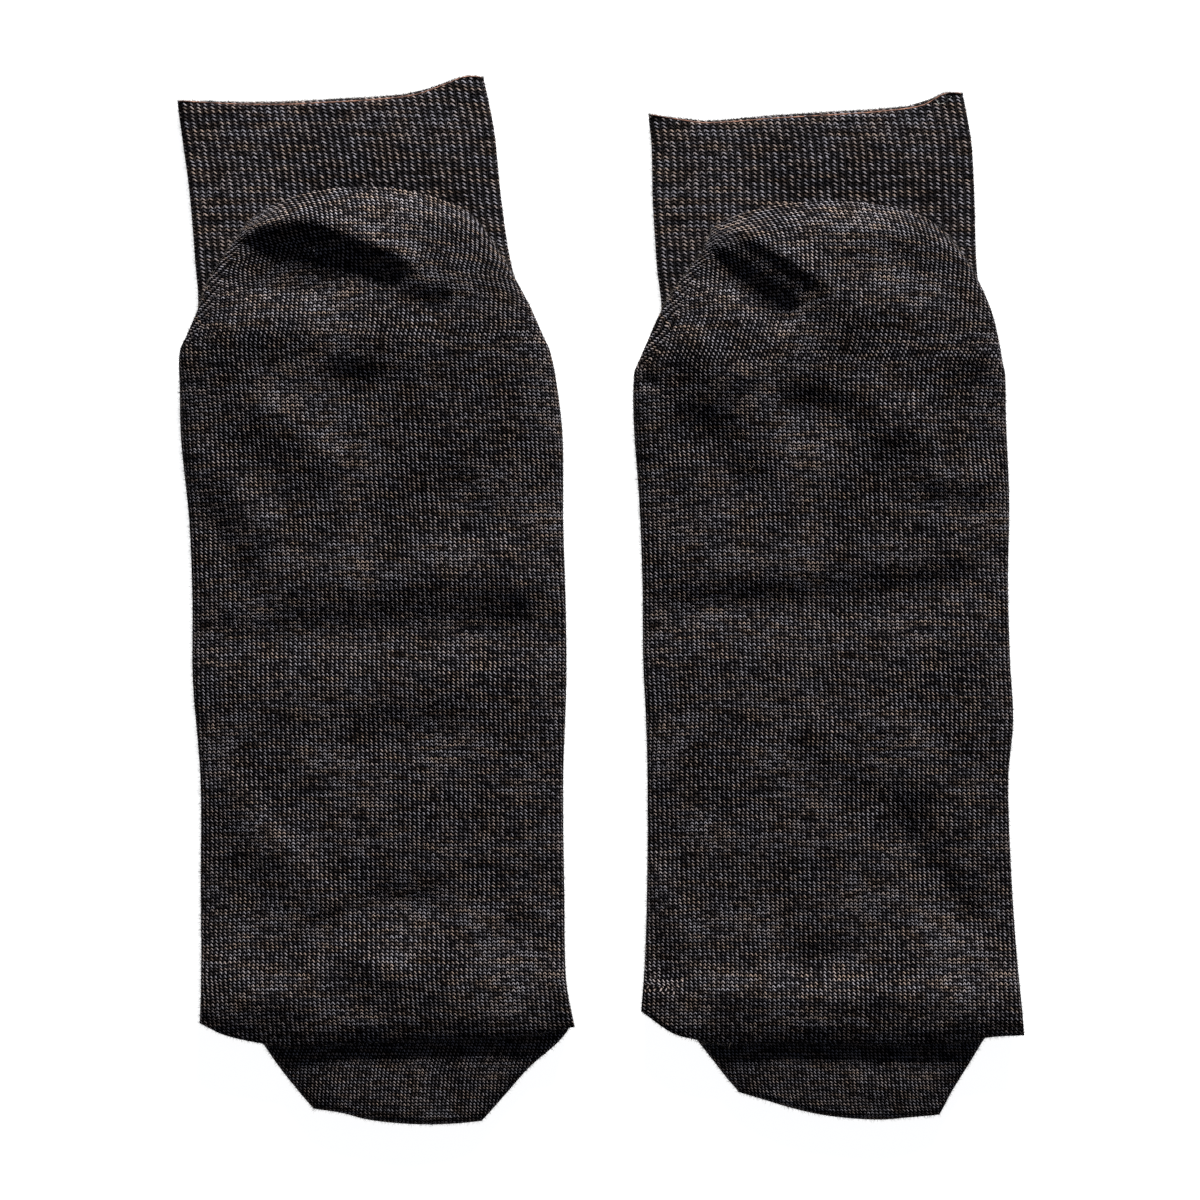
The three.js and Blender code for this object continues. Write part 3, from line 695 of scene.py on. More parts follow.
@dataclass
class RibbedLeg(KnittedTube):
    """The ribbed leg, from its open cuff to the ankle.

    Attributes:
        rib_relief: Height of a rib above the valley beside it.
        front_lip: How far the front of the cuff stands past the back of it.
        mouth_rise: How far the back of the cuff stands open.
        mouth_reach: How far down the leg the cuff stands open.
        columns_per_rib: Columns of points in one rib.
        ankle: Heights y of the ankle line's left and right ends.
        unevenness: Height of the cloth's faint undulation.
        waves: Lengths of its shortest and longest wave.
        front_fade: How fast the front's ribs come up in from its side edges.
        rim_fade: The same for the round edge of the cuff.
    """

    rib_relief: float = 0.32
    front_lip: float = 1.1
    mouth_rise: float = 0.5
    mouth_reach: float = 22.0
    columns_per_rib: int = 6
    ankle: tuple[float, float] = (0.0, 0.0)
    unevenness: float = 0.15
    waves: tuple[float, float] = (12.0, 40.0)
    front_fade: float = 20.0
    rim_fade: float = 8.0

    part = "leg"

    def __post_init__(self) -> None:
        """Set the leg's two end lines."""
        self.sections = self.shape.leg
        self.start = self.shape.cuff
        self.end = tuple(y + KNIT_GAP for y in self.ankle)
        self.rim = EasedTable(self.shape.cuff_rim)
        super().__post_init__()

    def bow(self, across: np.ndarray, along: np.ndarray) -> np.ndarray:
        """Follow the wavy rim of the cuff, which fades down the leg."""
        return self.rim(across) * (1 - along) ** 2

    def columns(self, width: np.ndarray, radius: np.ndarray, inset: float) -> np.ndarray:
        """Return evenly spaced columns, a whole number to each rib."""
        if inset:
            return super().columns(width, radius, inset)
        count = RIBS * self.columns_per_rib
        return np.repeat(np.arange(count + 1)[None] / count, len(width), axis=0)

    def top(self, x: np.ndarray, y: np.ndarray, across: np.ndarray) -> np.ndarray:
        """Return the height of the back panel, which stands open a little at the cuff."""
        near_cuff = smoothstep(y, self.start[0] - self.mouth_reach, self.start[0])
        uneven = self.unevenness * undulation(x, y, self.shape.seed + 1, *self.waves)
        inward = 4 * across * (1 - across)
        return FLAT_PAIR + (self.mouth_rise * near_cuff + uneven) * inward

    def rib(self, across: np.ndarray) -> np.ndarray:
        """Return a wave that is 0 on each rib and -1 in each valley."""
        return (np.cos(2 * math.pi * RIBS * across) - 1) / 2

    def top_relief(self, across: np.ndarray, inset: float) -> np.ndarray:
        """Return the ribs of the back panel."""
        return self.rib_relief * self.rib(across) * (inset == 0)

    def under_relief(self, across: np.ndarray, inset: float) -> np.ndarray:
        """Return the ribs of the front panel, which lies on the floor."""
        inward = np.minimum(1, self.front_fade * np.minimum(across, 1 - across))
        return -self.rib_relief * self.rib(across) * inward * (inset == 0)

    def knit_places(self, points: np.ndarray, across: np.ndarray) -> np.ndarray:
        """Return each point's rib and course, with the middle of a rib at one half."""
        places = super().knit_places(points, across)
        places[..., 0] = RIBS * across + 0.5
        return places

    def shift_front(self, layer: Layer, along: np.ndarray) -> Layer:
        """Let the front panel stand past the back panel at the cuff."""
        fullness = np.sqrt(4 * layer.across * (1 - layer.across))
        layer.points[..., 1] += self.front_lip * fullness * (1 - along[:, None]) ** 2
        return layer

    def roll_rim(self, layer: Layer, along: np.ndarray, side: Side, inset: float) -> Layer:
        """Round the edge of the cuff over half the cloth's thickness."""
        half = CLOTH / 2
        sunk = half * (1 - rounded(along[:, None] * self.length, half))
        outward = 1 if (side is Side.TOP) == (inset == 0) else -1
        inward = np.minimum(1, self.rim_fade * np.minimum(layer.across, 1 - layer.across))
        layer.points[..., 2] -= outward * sunk * inward
        return layer

    def build(self, wool: bpy.types.Material) -> bpy.types.Object:
        """Return the leg's shell."""
        cloth = ClothMesh()
        rim = np.array(self.edge_shares[:-1]) * CLOTH / 2 / self.length
        walls = {}
        for inset, step in ((0.0, 1.0), (CLOTH, self.inner_step)):
            along = np.concatenate([rim, self.rows(CLOTH / 2 / self.length, 1, step, False, False)])
            top = self.roll_rim(self.layer(Side.TOP, along, 0, inset), along, Side.TOP, inset)
            under = self.shift_front(self.layer(Side.UNDER, along, 0, inset), along)
            under = self.roll_rim(under, along, Side.UNDER, inset)
            cloth.add_layer(top, faces_up=inset == 0)
            under.meet(top)
            cloth.add_layer(under, faces_up=inset > 0)
            walls[inset] = {Side.TOP: top, Side.UNDER: under}
        for side in Side:
            for row in (0, -1):
                cloth.join(walls[0][side], walls[CLOTH][side], row, side)
        self.shown = walls[0][Side.TOP]
        self.front = walls[0][Side.UNDER]
        return self.finish(cloth, wool, "ribbed_wool", "leg")


@dataclass
class Sole(KnittedTube):
    """The heel pocket and the foot, knitted as one, from the heel fold to the toe fold.

    Attributes:
        band_columns: Columns of points across the band where the heel pocket turns.
        band_fade: Distance over which the band's columns close up below it.
        plain_band: Width that its columns keep along the foot.
        heel_roll: How far in from the heel fold its upper side keeps rising.
        toe_roll: The same for the toe fold.
        lean_from: Share of the way across at which the heel's columns start to lean.
        lean_reach: How far below the heel fold they lean.
        row_turn: How far above the ankle the heel's rows start to follow its fold.
        unevenness: Height of the cloth's faint undulation.
        waves: Lengths of its shortest and longest wave.
        arch_power: How square the arch of the heel fold is.
        arch_reach: Share of the heel's length over which its rows keep some of that arch.
        fold_pin: How near the side edges the folds run before they fade.
        band_ends: Rows at each end of the band that don't count for its angle.
        band_fall: How far the band falls for each millimetre out to the side.
    """

    band_columns: int = 8
    band_fade: float = 8.0
    plain_band: float = 3.0
    heel_roll: float = 9.0
    toe_roll: float = 5.5
    lean_from: float = 0.75
    lean_reach: float = 14.0
    row_turn: float = 12.0
    unevenness: float = 0.13
    waves: tuple[float, float] = (9.0, 34.0)
    arch_power: float = 0.75
    arch_reach: float = 0.9
    fold_pin: int = 10
    band_ends: int = 6
    band_fall: float = 0.3

    part = "sole"
    rise_share = 0.35  # the cloth stretches over its folds, which spreads its rows of stitches

    def __post_init__(self) -> None:
        """Set the end lines and where the two slots cross the underside."""
        self.sections = self.shape.sole
        self.start = self.shape.heel
        self.end = self.shape.ears
        self.toe_fold = EasedTable(self.shape.toe_fold)
        self.band = EasedTable(self.shape.band)
        self.edge_height = EasedTable(SOLE_HEIGHTS, 1)
        self.middle_height = EasedTable(SOLE_HEIGHTS, 2)
        self.side_height = EasedTable(SIDE_HEIGHTS)
        super().__post_init__()
        self.ankle_at = self.along_at(self.shape.ankle_y)
        self.slot_at = self.along_at(TOE_SEAM_Y)

    def line_at(self, along: float) -> tuple[float, float]:
        """Return the heights y of both ends of a row."""
        return tuple(lerp(a, b, along) for a, b in zip(self.start, self.end))

    def bow(self, across: np.ndarray, along: np.ndarray) -> np.ndarray:
        """Return the arch of the heel fold and the sag of the toe fold."""
        arch = self.shape.heel_rise * (1 - (2 * across - 1) ** 2) ** self.arch_power
        near_heel = np.clip(1 - along / (self.arch_reach * self.ankle_at), 0, 1) ** BOW_POWER
        near_toe = np.clip((along - self.slot_at) / (1 - self.slot_at), 0, 1) ** BOW_POWER
        return arch * near_heel + self.toe_fold(across) * near_toe

    def top(self, x: np.ndarray, y: np.ndarray, across: np.ndarray) -> np.ndarray:
        """Return the height of the sole side with its folds."""
        beyond = y - self.shape.ankle_y
        from_middle = np.abs(2 * across - 1)
        to_heel = np.clip((self.place(across, 0.0)[1] - y) / self.heel_roll, 0, 1)
        to_toe = np.clip((y - self.place(across, 1.0)[1]) / self.toe_roll, 0, 1)
        rolled = 1 - (1 - np.minimum(to_heel, to_toe)) ** 2
        folded = fold_lift(self.shape.folds, x, y)
        folded += self.unevenness * undulation(x, y, self.shape.seed, *self.waves)
        crowned = 1 - from_middle**CROWN_POWER
        full = lerp(self.edge_height(beyond), self.middle_height(beyond), crowned)
        near_edge = np.minimum(STACK + EDGE_ROUND, full)
        lifted = lerp(near_edge, full, rolled) + folded * (1 - from_middle**self.fold_pin) * rolled
        below = np.where((beyond > 0) | (y < TOE_SEAM_Y), STACK, 0.0)
        return np.maximum(lifted, below + 2 * CLOTH + INNER_GAP)

    def middle(self, y: np.ndarray) -> np.ndarray:
        """Return the height of the side fold, which rises with the layers below it."""
        return self.side_height(y - self.shape.ankle_y)

    def radius(self, y: np.ndarray) -> np.ndarray:
        """Return the side fold's radius, as large as its height allows."""
        beyond = y - self.shape.ankle_y
        return np.maximum(self.edge_height(beyond) - self.side_height(beyond), EDGE_ROUND)

    def end_bulge(self, across: np.ndarray, y: np.ndarray, inset: float) -> np.ndarray:
        """Round the heel fold and the toe fold."""
        to_heel = self.place(across, 0.0)[1] - y - inset
        to_toe = y - self.place(across, 1.0)[1] - inset
        return rounded(np.minimum(to_heel, to_toe), EDGE_ROUND - inset)

    def columns(self, width: np.ndarray, radius: np.ndarray, inset: float) -> np.ndarray:
        """Return the columns, with extra ones across the band at the left edge."""
        plain = super().columns(width, radius, inset)
        if inset:
            return plain
        round_end = len(self.edge_shares) - 1
        extra = self.band_columns - round_end
        last = plain.shape[1] - 1 - round_end
        band = np.maximum(self.band_width / width, plain[:, round_end : round_end + 1] + 0.4 / width)
        to_band = lerp(plain[:, round_end : round_end + 1], band, np.arange(1, extra + 1) / extra)
        count = last - round_end
        between = lerp(band, plain[:, last : last + 1], np.arange(1, count) / count)
        return np.hstack([plain[:, : round_end + 1], to_band, between, plain[:, last:]])

    def layer(self, side: Side, along: np.ndarray, floor: float = 0.0, inset: float = 0.0) -> Layer:
        """Return the points of one layer, with its columns fitted to the band."""
        left_y = lerp(self.start[0], self.end[0], along[:, None])
        lowest, narrow = self.shape.band[0]
        below = lerp(narrow, self.plain_band, smoothstep(lowest - left_y, 0, self.band_fade))
        self.band_width = np.where(left_y < lowest, below, self.band(left_y))
        return super().layer(side, along, floor, inset)

    def knit_places(self, points: np.ndarray, across: np.ndarray) -> np.ndarray:
        """Run the heel's rows along its fold, and fan its columns out at the left corner."""
        places = super().knit_places(points, across)
        middle = points.shape[1] // 2
        share = smoothstep(points[..., 1] - self.shape.ankle_y, 0.0, self.row_turn)
        places[..., 1] = lerp(places[..., 1], places[:, middle : middle + 1, 1], share)
        to_heel = self.place(across, 0.0)[1] - points[..., 1]
        near = np.clip(1 - to_heel / self.lean_reach, 0, 1)
        leftward = np.maximum(1 - across / self.lean_from, 0)
        shift = self.shape.wale_lean * leftward * near**3 * self.lean_reach / 3
        places[..., 0] += shift / self.gauge.wale
        return places

    def band_places(self, layer: Layer, rows: int) -> np.ndarray:
        """Return the band's places in the knitting: the pocket's own, mirrored in the band's edge.

        Args:
            layer: The sole side.
            rows: How many rows the band has.

        Returns:
            Rows by columns by two, the places in stitches.
        """
        edge = self.band_columns
        line = layer.points[:, edge, :2]
        top, low = line[self.band_ends], line[rows - self.band_ends]
        angle = 2 * math.atan2(top[1] - low[1], top[0] - low[0])
        mirror = np.array([[math.cos(angle), math.sin(angle)], [math.sin(angle), -math.cos(angle)]])
        offset = layer.points[:, : edge + 1, :2] - layer.points[:, edge : edge + 1, :2]
        offset[..., 0] *= np.hypot(1, self.band_fall)
        return layer.knit[:, edge : edge + 1] + offset @ mirror / (self.gauge.wale, self.gauge.course)

    def add_top_faces(self, cloth: ClothMesh, top: Layer, along: np.ndarray) -> None:
        """Add the sole side's faces, with the heel's left band knitted at its own angle.

        Args:
            cloth: The mesh to add to.
            top: The sole side.
            along: Each row's share of the way along.
        """
        left_y = lerp(self.start[0], self.end[0], along)
        rows = int(np.sum(left_y >= self.shape.band[0][0]))
        edge = self.band_columns
        cloth.add_faces(top.ids[:rows, : edge + 1], self.band_places(top, rows)[:rows], True)
        cloth.add_faces(top.ids[rows - 1 :, : edge + 1], top.knit[rows - 1 :, : edge + 1], True)
        cloth.add_faces(top.ids[:, edge:], top.knit[:, edge:], True)

    def build(self, wool: bpy.types.Material) -> bpy.types.Object:
        """Return the shell of the heel pocket and foot."""
        cloth = ClothMesh()
        walls = {}
        for inset, step in ((0.0, self.row_step), (CLOTH, self.inner_step)):
            outer = inset == 0
            first, last = inset / self.length, 1 - inset / self.length
            spans = [
                self.rows(first, self.ankle_at, step, outer, False),
                self.rows(self.ankle_at, self.slot_at, step, False, False),
                self.rows(self.slot_at, last, step, False, outer),
            ]
            along = np.concatenate([spans[0], spans[1][1:], spans[2][1:]])
            top = cloth.add_points(self.layer(Side.TOP, along, 0, inset))
            if outer:
                self.add_top_faces(cloth, top, along)
                self.shown = top
            else:
                cloth.add_faces(top.ids, top.knit, False)
            walls[inset] = self.add_unders(cloth, top, spans, inset)
        heel, foot, flap = range(3)
        for span, row in ((heel, -1), (foot, 0), (foot, -1), (flap, 0)):
            cloth.join(walls[0][span], walls[CLOTH][span], row, Side.UNDER)
        return self.finish(cloth, wool, "plain_wool", "heel", "foot")

    def add_unders(
        self, cloth: ClothMesh, top: Layer, spans: Sequence[np.ndarray], inset: float
    ) -> list[Layer]:
        """Add the layers under the heel pocket, the foot and the toe fold.

        Args:
            cloth: The mesh to add to.
            top: The sole side, whose edges they share.
            spans: Each layer's rows.
            inset: How far inside the outer face they lie.

        Returns:
            The three layers.
        """
        unders = []
        at = 0
        for span, floor in zip(spans, (STACK, 0.0, STACK)):
            under = self.layer(Side.UNDER, span, floor, inset)
            here = slice(at, at + len(span))
            beside = Layer(top.points[here], top.across[here], top.knit[here])
            beside.ids = top.ids[here]
            under.meet(beside, first=span is spans[0], last=span is spans[-1])
            unders.append(cloth.add_layer(under, faces_up=inset > 0))
            at += len(span) - 1
        return unders


@dataclass
class Toe(KnittedTube):
    """The toe pocket, which comes out from under the toe fold.

    Attributes:
        mouth: Heights y of the left and right ends of its mouth.
        curve_from: Share of the way along where its rows start to bow towards the tip.
        fullness: How far it swells once it is clear of the toe fold.
        swell: Heights y between which it swells.
        unevenness: Height of the cloth's faint undulation.
        waves: Lengths of its shortest and longest wave.
    """

    mouth: tuple[float, float] = (0.0, 0.0)
    curve_from: float = 0.3
    fullness: float = 1.3
    swell: tuple[float, float] = (-109.0, -119.0)
    unevenness: float = 0.12
    waves: tuple[float, float] = (8.0, 24.0)

    part = "toe"

    def __post_init__(self) -> None:
        """Set the end lines."""
        self.sections = self.shape.toe
        self.start = tuple(y - KNIT_GAP for y in self.mouth)
        self.end = self.shape.tip
        self.tip_curve = EasedTable(self.shape.tip_curve)
        super().__post_init__()

    def bow(self, across: np.ndarray, along: np.ndarray) -> np.ndarray:
        """Return the sag of the tip."""
        share = np.clip((along - self.curve_from) / (1 - self.curve_from), 0, 1)
        return self.tip_curve(across) * share**BOW_POWER

    def top(self, x: np.ndarray, y: np.ndarray, across: np.ndarray) -> np.ndarray:
        """Return the height of the toe with its soft dents."""
        inward = 1 - np.abs(2 * across - 1) ** CROWN_POWER
        uneven = self.unevenness * undulation(x, y, self.shape.seed + 2, *self.waves)
        swollen = self.fullness * smoothstep(y, *self.swell)
        return FLAT_PAIR + (swollen + fold_lift(self.shape.toe_folds, x, y) + uneven) * inward

    def end_bulge(self, across: np.ndarray, y: np.ndarray, inset: float) -> np.ndarray:
        """Round the closed tip."""
        return rounded(y - self.place(across, 1.0)[1] - inset, EDGE_ROUND - inset)

    def build(self, wool: bpy.types.Material) -> bpy.types.Object:
        """Return the toe's shell."""
        cloth = ClothMesh()
        walls = {}
        for inset, step in ((0.0, self.row_step), (CLOTH, self.inner_step)):
            outer = inset == 0
            along = self.rows(0, 1 - inset / self.length, step, False, outer)
            top = cloth.add_layer(self.layer(Side.TOP, along, 0, inset), faces_up=outer)
            under = self.layer(Side.UNDER, along, 0, inset)
            under.meet(top, last=True)
            cloth.add_layer(under, faces_up=not outer)
            walls[inset] = {Side.TOP: top, Side.UNDER: under}
        for side in Side:
            cloth.join(walls[0][side], walls[CLOTH][side], 0, side)
        self.shown = walls[0][Side.TOP]
        return self.finish(cloth, wool, "plain_wool", "toe")


def linear(colour: str) -> tuple[float, float, float, float]:
    """Return an sRGB hex colour as linear red, green, blue and alpha."""
    channels = (int(colour[i : i + 2], 16) / 255 for i in (1, 3, 5))
    return (*(c / 12.92 if c <= 0.04045 else ((c + 0.055) / 1.055) ** 2.4 for c in channels), 1.0)


def bare_material(name: str) -> bpy.types.Material:
    """Return a new material with an empty node tree."""
    material = bpy.data.materials.new(name)
    material.use_nodes = True
    material.node_tree.nodes.clear()
    return material


def add_node(
    tree: bpy.types.NodeTree, kind: str, inputs: Mapping[int | str, Any] | None = None, **settings: Any
) -> bpy.types.Node:
    """Add a node with its settings and links.

    Args:
        tree: The node tree.
        kind: The node's type.
        inputs: A value, or a socket to link from, for each input.
        **settings: The node's own properties.

    Returns:
        The node.
    """
    node = tree.nodes.new(kind)
    for name, value in settings.items():
        setattr(node, name, value)
    for socket, value in (inputs or {}).items():
        if isinstance(value, bpy.types.NodeSocket):
            tree.links.new(value, node.inputs[socket])
        else:
            node.inputs[socket].default_value = value
    return node


# Each row is (name, operation, inputs), where an input is a number or an earlier row's name.
Steps = tuple[tuple[str, str, tuple[float | str, ...]], ...]


def leg_steps(side: str, centre: float, lean: float, half: float) -> Steps:
    """Return the steps that draw one leg of a stitch, from 1 along its middle to 0 at its edges.

    Args:
        side: Which leg it is, "right" or "left".
        centre: Share of the way across the stitch at which the leg's middle lies.
        lean: How far it moves across for each course that it rises.
        half: Half its width, as a share of the stitch's.

    Returns:
        The steps, of which the last gives the leg.
    """
    return (
        (f"{side}_centre", "MULTIPLY_ADD", ("rise", lean, centre)),
        (f"{side}_off", "SUBTRACT", ("fu", f"{side}_centre")),
        (f"{side}_wrap", "WRAP", (f"{side}_off", 0.5, -0.5)),
        (f"{side}_share", "DIVIDE", (f"{side}_wrap", half)),
        (f"{side}_square", "MULTIPLY", (f"{side}_share", f"{side}_share")),
        (f"{side}_leg", "SUBTRACT", (1.0, f"{side}_square")),
    )


# A stitch seen with its toe end down is an inverted V. Its right leg lies nearly across the light
# and catches it, and its left leg runs with the light and mostly stays dark.
STITCH_ENDS: Steps = (
    ("dim_left", "MULTIPLY", ("left_leg", "left_weight")),
    ("legs", "MAXIMUM", ("right_leg", "dim_left")),
    ("end_share", "MULTIPLY", ("rise", 2.2)),
    ("end_square", "MULTIPLY", ("end_share", "end_share")),
    ("end_fourth", "MULTIPLY", ("end_square", "end_square")),
    ("ends", "SUBTRACT", (1.0, "end_fourth")),
    ("open_ends", "MAXIMUM", ("ends", 0.0)),
    ("yarn", "MULTIPLY", ("legs", "open_ends")),
)

PLAIN_STITCH: Steps = (
    ("rise", "SUBTRACT", ("fv", 0.5)),
    *leg_steps("right", 0.60, -0.58, 0.21),
    *leg_steps("left", 0.24, 0.36, 0.15),
    *STITCH_ENDS,
    ("height", "MAXIMUM", ("yarn", 0.0)),
)

# A rib is one column of stitches that stands forward, with a valley beside it painted near black as shade
# and a thin line of yarn in it.
RIB_STITCH: Steps = (
    ("rise", "SUBTRACT", ("fv", 0.5)),
    *leg_steps("right", 0.55, -0.56, 0.25),
    *leg_steps("left", 0.23, 0.28, 0.14),
    *STITCH_ENDS,
    ("valley_off", "SUBTRACT", ("fu", 0.98)),
    ("valley_wrap", "WRAP", ("valley_off", 0.5, -0.5)),
    ("valley_share", "DIVIDE", ("valley_wrap", 0.06)),
    ("valley_square", "MULTIPLY", ("valley_share", "valley_share")),
    ("valley_round", "SUBTRACT", (1.0, "valley_square")),
    ("valley_yarn", "MULTIPLY", ("valley_round", 0.43)),
    ("both", "MAXIMUM", ("yarn", "valley_yarn")),
    ("height", "MAXIMUM", ("both", 0.0)),
)


@dataclass(frozen=True)
class KnittedWool:
    """Merino wool, machine knitted from one yarn that is spun of several browns and greys.

    The fibres scatter light widely and hide any gloss. The colour paints in how the knitting takes the
    light: dull yarn with pale flecks and a painted highlight along the crest of each stitch's legs, on
    near-black painted shade where the light doesn't reach between the stitches.

    Attributes:
        name: The material's name.
        stitch: The steps that work out how high the yarn stands in a stitch.
        gap: Colour between the stitches, a painted shade where the light doesn't reach.
        deep: Colour of the yarn's shaded flank.
        yarn: Colour of the yarn.
        fleck_and_highlight: Colour of its palest fibres and of the painted highlight along the crest of
            each stitch's leg.
        warm: Tint of its brownest stretches.
        cool: Tint of its greyest stretches.
        contrast: How much one stitch differs from the next.
        yarn_height: How far the yarn stands up, in millimetres.
        relief: Strength of the stitches' relief.
        stray: Widths of the ranges over which a stitch strays across and along, in stitches.
        stray_scale: How fast the straying changes, for each stitch.
        drift_scale: The same for which leg of the stitches catches more light.
    """

    name: str
    stitch: Steps
    gap: str = "#010102"
    deep: str = "#131212"
    yarn: str = "#383434"
    fleck_and_highlight: str = "#98918f"
    warm: str = "#ffebd8"
    cool: str = "#ebf0fb"
    contrast: float = 0.6
    yarn_height: float = 0.28
    relief: float = 0.45
    stray: tuple[float, float] = (0.5, 0.6)
    stray_scale: float = 0.45
    drift_scale: float = 0.06

    def build(self) -> bpy.types.Material:
        """Return the material."""
        material = bare_material(self.name)
        tree = material.node_tree
        place = add_node(tree, "ShaderNodeUVMap", uv_map=KNIT_UV).outputs[0]
        cell, values = self.stitch_places(tree, place)
        for name, operation, arguments in self.stitch:
            sources = {i: values[a] if isinstance(a, str) else a for i, a in enumerate(arguments)}
            step = add_node(tree, "ShaderNodeMath", sources, operation=operation, label=name)
            values[name] = step.outputs[0]
        tone = self.tone(tree, place, cell)
        lit = add_node(tree, "ShaderNodeMath", {0: values["height"], 1: tone}, operation="MULTIPLY")
        # painted shade and highlight: the yarn's height sets its colour, from painted shade in the gaps and
        # on the flanks up to the pale fibres and painted highlight along each leg's crest
        ramp = add_node(tree, "ShaderNodeValToRGB", {"Fac": lit.outputs[0]})
        ramp.color_ramp.elements[0].color = linear(self.gap)
        ramp.color_ramp.elements[1].color = linear(self.fleck_and_highlight)
        for position, colour in ((0.25, self.deep), (0.6, self.yarn)):
            ramp.color_ramp.elements.new(position).color = linear(colour)
        bump = add_node(
            tree,
            "ShaderNodeBump",
            {"Height": values["height"], "Strength": self.relief, "Distance": self.yarn_height * MM},
        )
        # dull fibre: hardly any gloss, so the gaps stay black
        shader = add_node(
            tree,
            "ShaderNodeBsdfPrincipled",
            {
                "Base Color": self.warmed(tree, place, ramp.outputs["Color"]),
                "Roughness": 0.92,
                "IOR": 1.5,
                "Specular IOR Level": 0.01,
                "Normal": bump.outputs[0],
            },
        )
        add_node(tree, "ShaderNodeOutputMaterial", {"Surface": shader.outputs[0]})
        return material

    def stitch_places(self, tree: bpy.types.NodeTree, place: Any) -> tuple[Any, dict[str, Any]]:
        """Return which stitch a point is in, and where in that stitch it is.

        Args:
            tree: The material's nodes.
            place: The place in the knitting.

        Returns:
            The stitch's number, and the named values that the stitch's steps start from.
        """
        # real stitches stray from their grid, here mostly by under a quarter of a stitch
        wander = add_node(
            tree,
            "ShaderNodeTexNoise",
            {"Vector": place, "Scale": self.stray_scale, "Detail": 2.0},
            noise_dimensions="2D",
        )
        stray = add_node(
            tree,
            "ShaderNodeVectorMath",
            {0: wander.outputs["Color"], 1: (0.5, 0.5, 0.5)},
            operation="SUBTRACT",
        )
        strayed = add_node(
            tree,
            "ShaderNodeVectorMath",
            {0: stray.outputs[0], 1: (*self.stray, 0), 2: place},
            operation="MULTIPLY_ADD",
        ).outputs[0]
        cell = add_node(tree, "ShaderNodeVectorMath", {0: strayed}, operation="FLOOR").outputs[0]
        inside = add_node(tree, "ShaderNodeVectorMath", {0: strayed}, operation="FRACTION").outputs[0]
        in_stitch = add_node(tree, "ShaderNodeSeparateXYZ", {0: inside})
        # which of the two legs catches more light drifts slowly over the cloth
        drift = add_node(
            tree,
            "ShaderNodeTexNoise",
            {"Vector": place, "Scale": self.drift_scale, "Detail": 1.0},
            noise_dimensions="2D",
        )
        left_weight = add_node(
            tree,
            "ShaderNodeMapRange",
            {"Value": drift.outputs["Fac"], "From Min": 0.3, "From Max": 0.7, "To Min": 0.3, "To Max": 0.8},
        )
        return cell, {
            "fu": in_stitch.outputs[0],
            "fv": in_stitch.outputs[1],
            "left_weight": left_weight.outputs[0],
        }

    def tone(self, tree: bpy.types.NodeTree, place: Any, cell: Any) -> Any:
        """Return how bright the yarn is: uneven by stitch, streaked along its rows and mottled.

        Args:
            tree: The material's nodes.
            place: The place in the knitting.
            cell: The stitch's own number.

        Returns:
            The socket that gives the brightness, about 1.
        """
        speckle = add_node(tree, "ShaderNodeTexWhiteNoise", {"Vector": cell}, noise_dimensions="2D")
        total: Any = 1.0 - self.contrast / 2
        total = add_node(
            tree,
            "ShaderNodeMath",
            {0: speckle.outputs["Value"], 1: self.contrast, 2: total},
            operation="MULTIPLY_ADD",
        ).outputs[0]
        # one length of yarn stays light or dark for 5 to 10 stitches along its row, and the
        # blend of fibres changes over 15 to 20 stitches
        for stretch, detail, weight in (((0.12, 1.0, 1), 2.0, 0.9), ((0.05, 0.06, 1), 2.0, 0.25)):
            scaled = add_node(tree, "ShaderNodeVectorMath", {0: place, 1: stretch}, operation="MULTIPLY")
            noise = add_node(
                tree,
                "ShaderNodeTexNoise",
                {"Vector": scaled.outputs[0], "Scale": 1.0, "Detail": detail},
                noise_dimensions="2D",
            )
            centred = add_node(
                tree, "ShaderNodeMath", {0: noise.outputs["Fac"], 1: 0.5}, operation="SUBTRACT"
            )
            total = add_node(
                tree,
                "ShaderNodeMath",
                {0: centred.outputs[0], 1: weight, 2: total},
                operation="MULTIPLY_ADD",
            ).outputs[0]
        return total

    def warmed(self, tree: bpy.types.NodeTree, place: Any, colour: Any) -> Any:
        """Return the colour with some lengths of yarn browner than the rest.

        Args:
            tree: The material's nodes.
            place: The place in the knitting.
            colour: The yarn's colour.

        Returns:
            The socket that gives the tinted colour.
        """
        scaled = add_node(tree, "ShaderNodeVectorMath", {0: place, 1: (0.15, 0.5, 1)}, operation="MULTIPLY")
        noise = add_node(
            tree,
            "ShaderNodeTexNoise",
            {"Vector": scaled.outputs[0], "Scale": 1.0, "Detail": 3.0},
            noise_dimensions="2D",
        )
        share = add_node(
            tree,
            "ShaderNodeMapRange",
            {"Value": noise.outputs["Fac"], "From Min": 0.4, "From Max": 0.7},
        )
        tint = add_node(
            tree,
            "ShaderNodeMix",
            {0: share.outputs[0], 6: linear(self.cool), 7: linear(self.warm)},
            data_type="RGBA",
        )
        return add_node(
            tree,
            "ShaderNodeMix",
            {0: 1.0, 6: colour, 7: tint.outputs[2]},
            data_type="RGBA",
            blend_type="MULTIPLY",
        ).outputs[2]


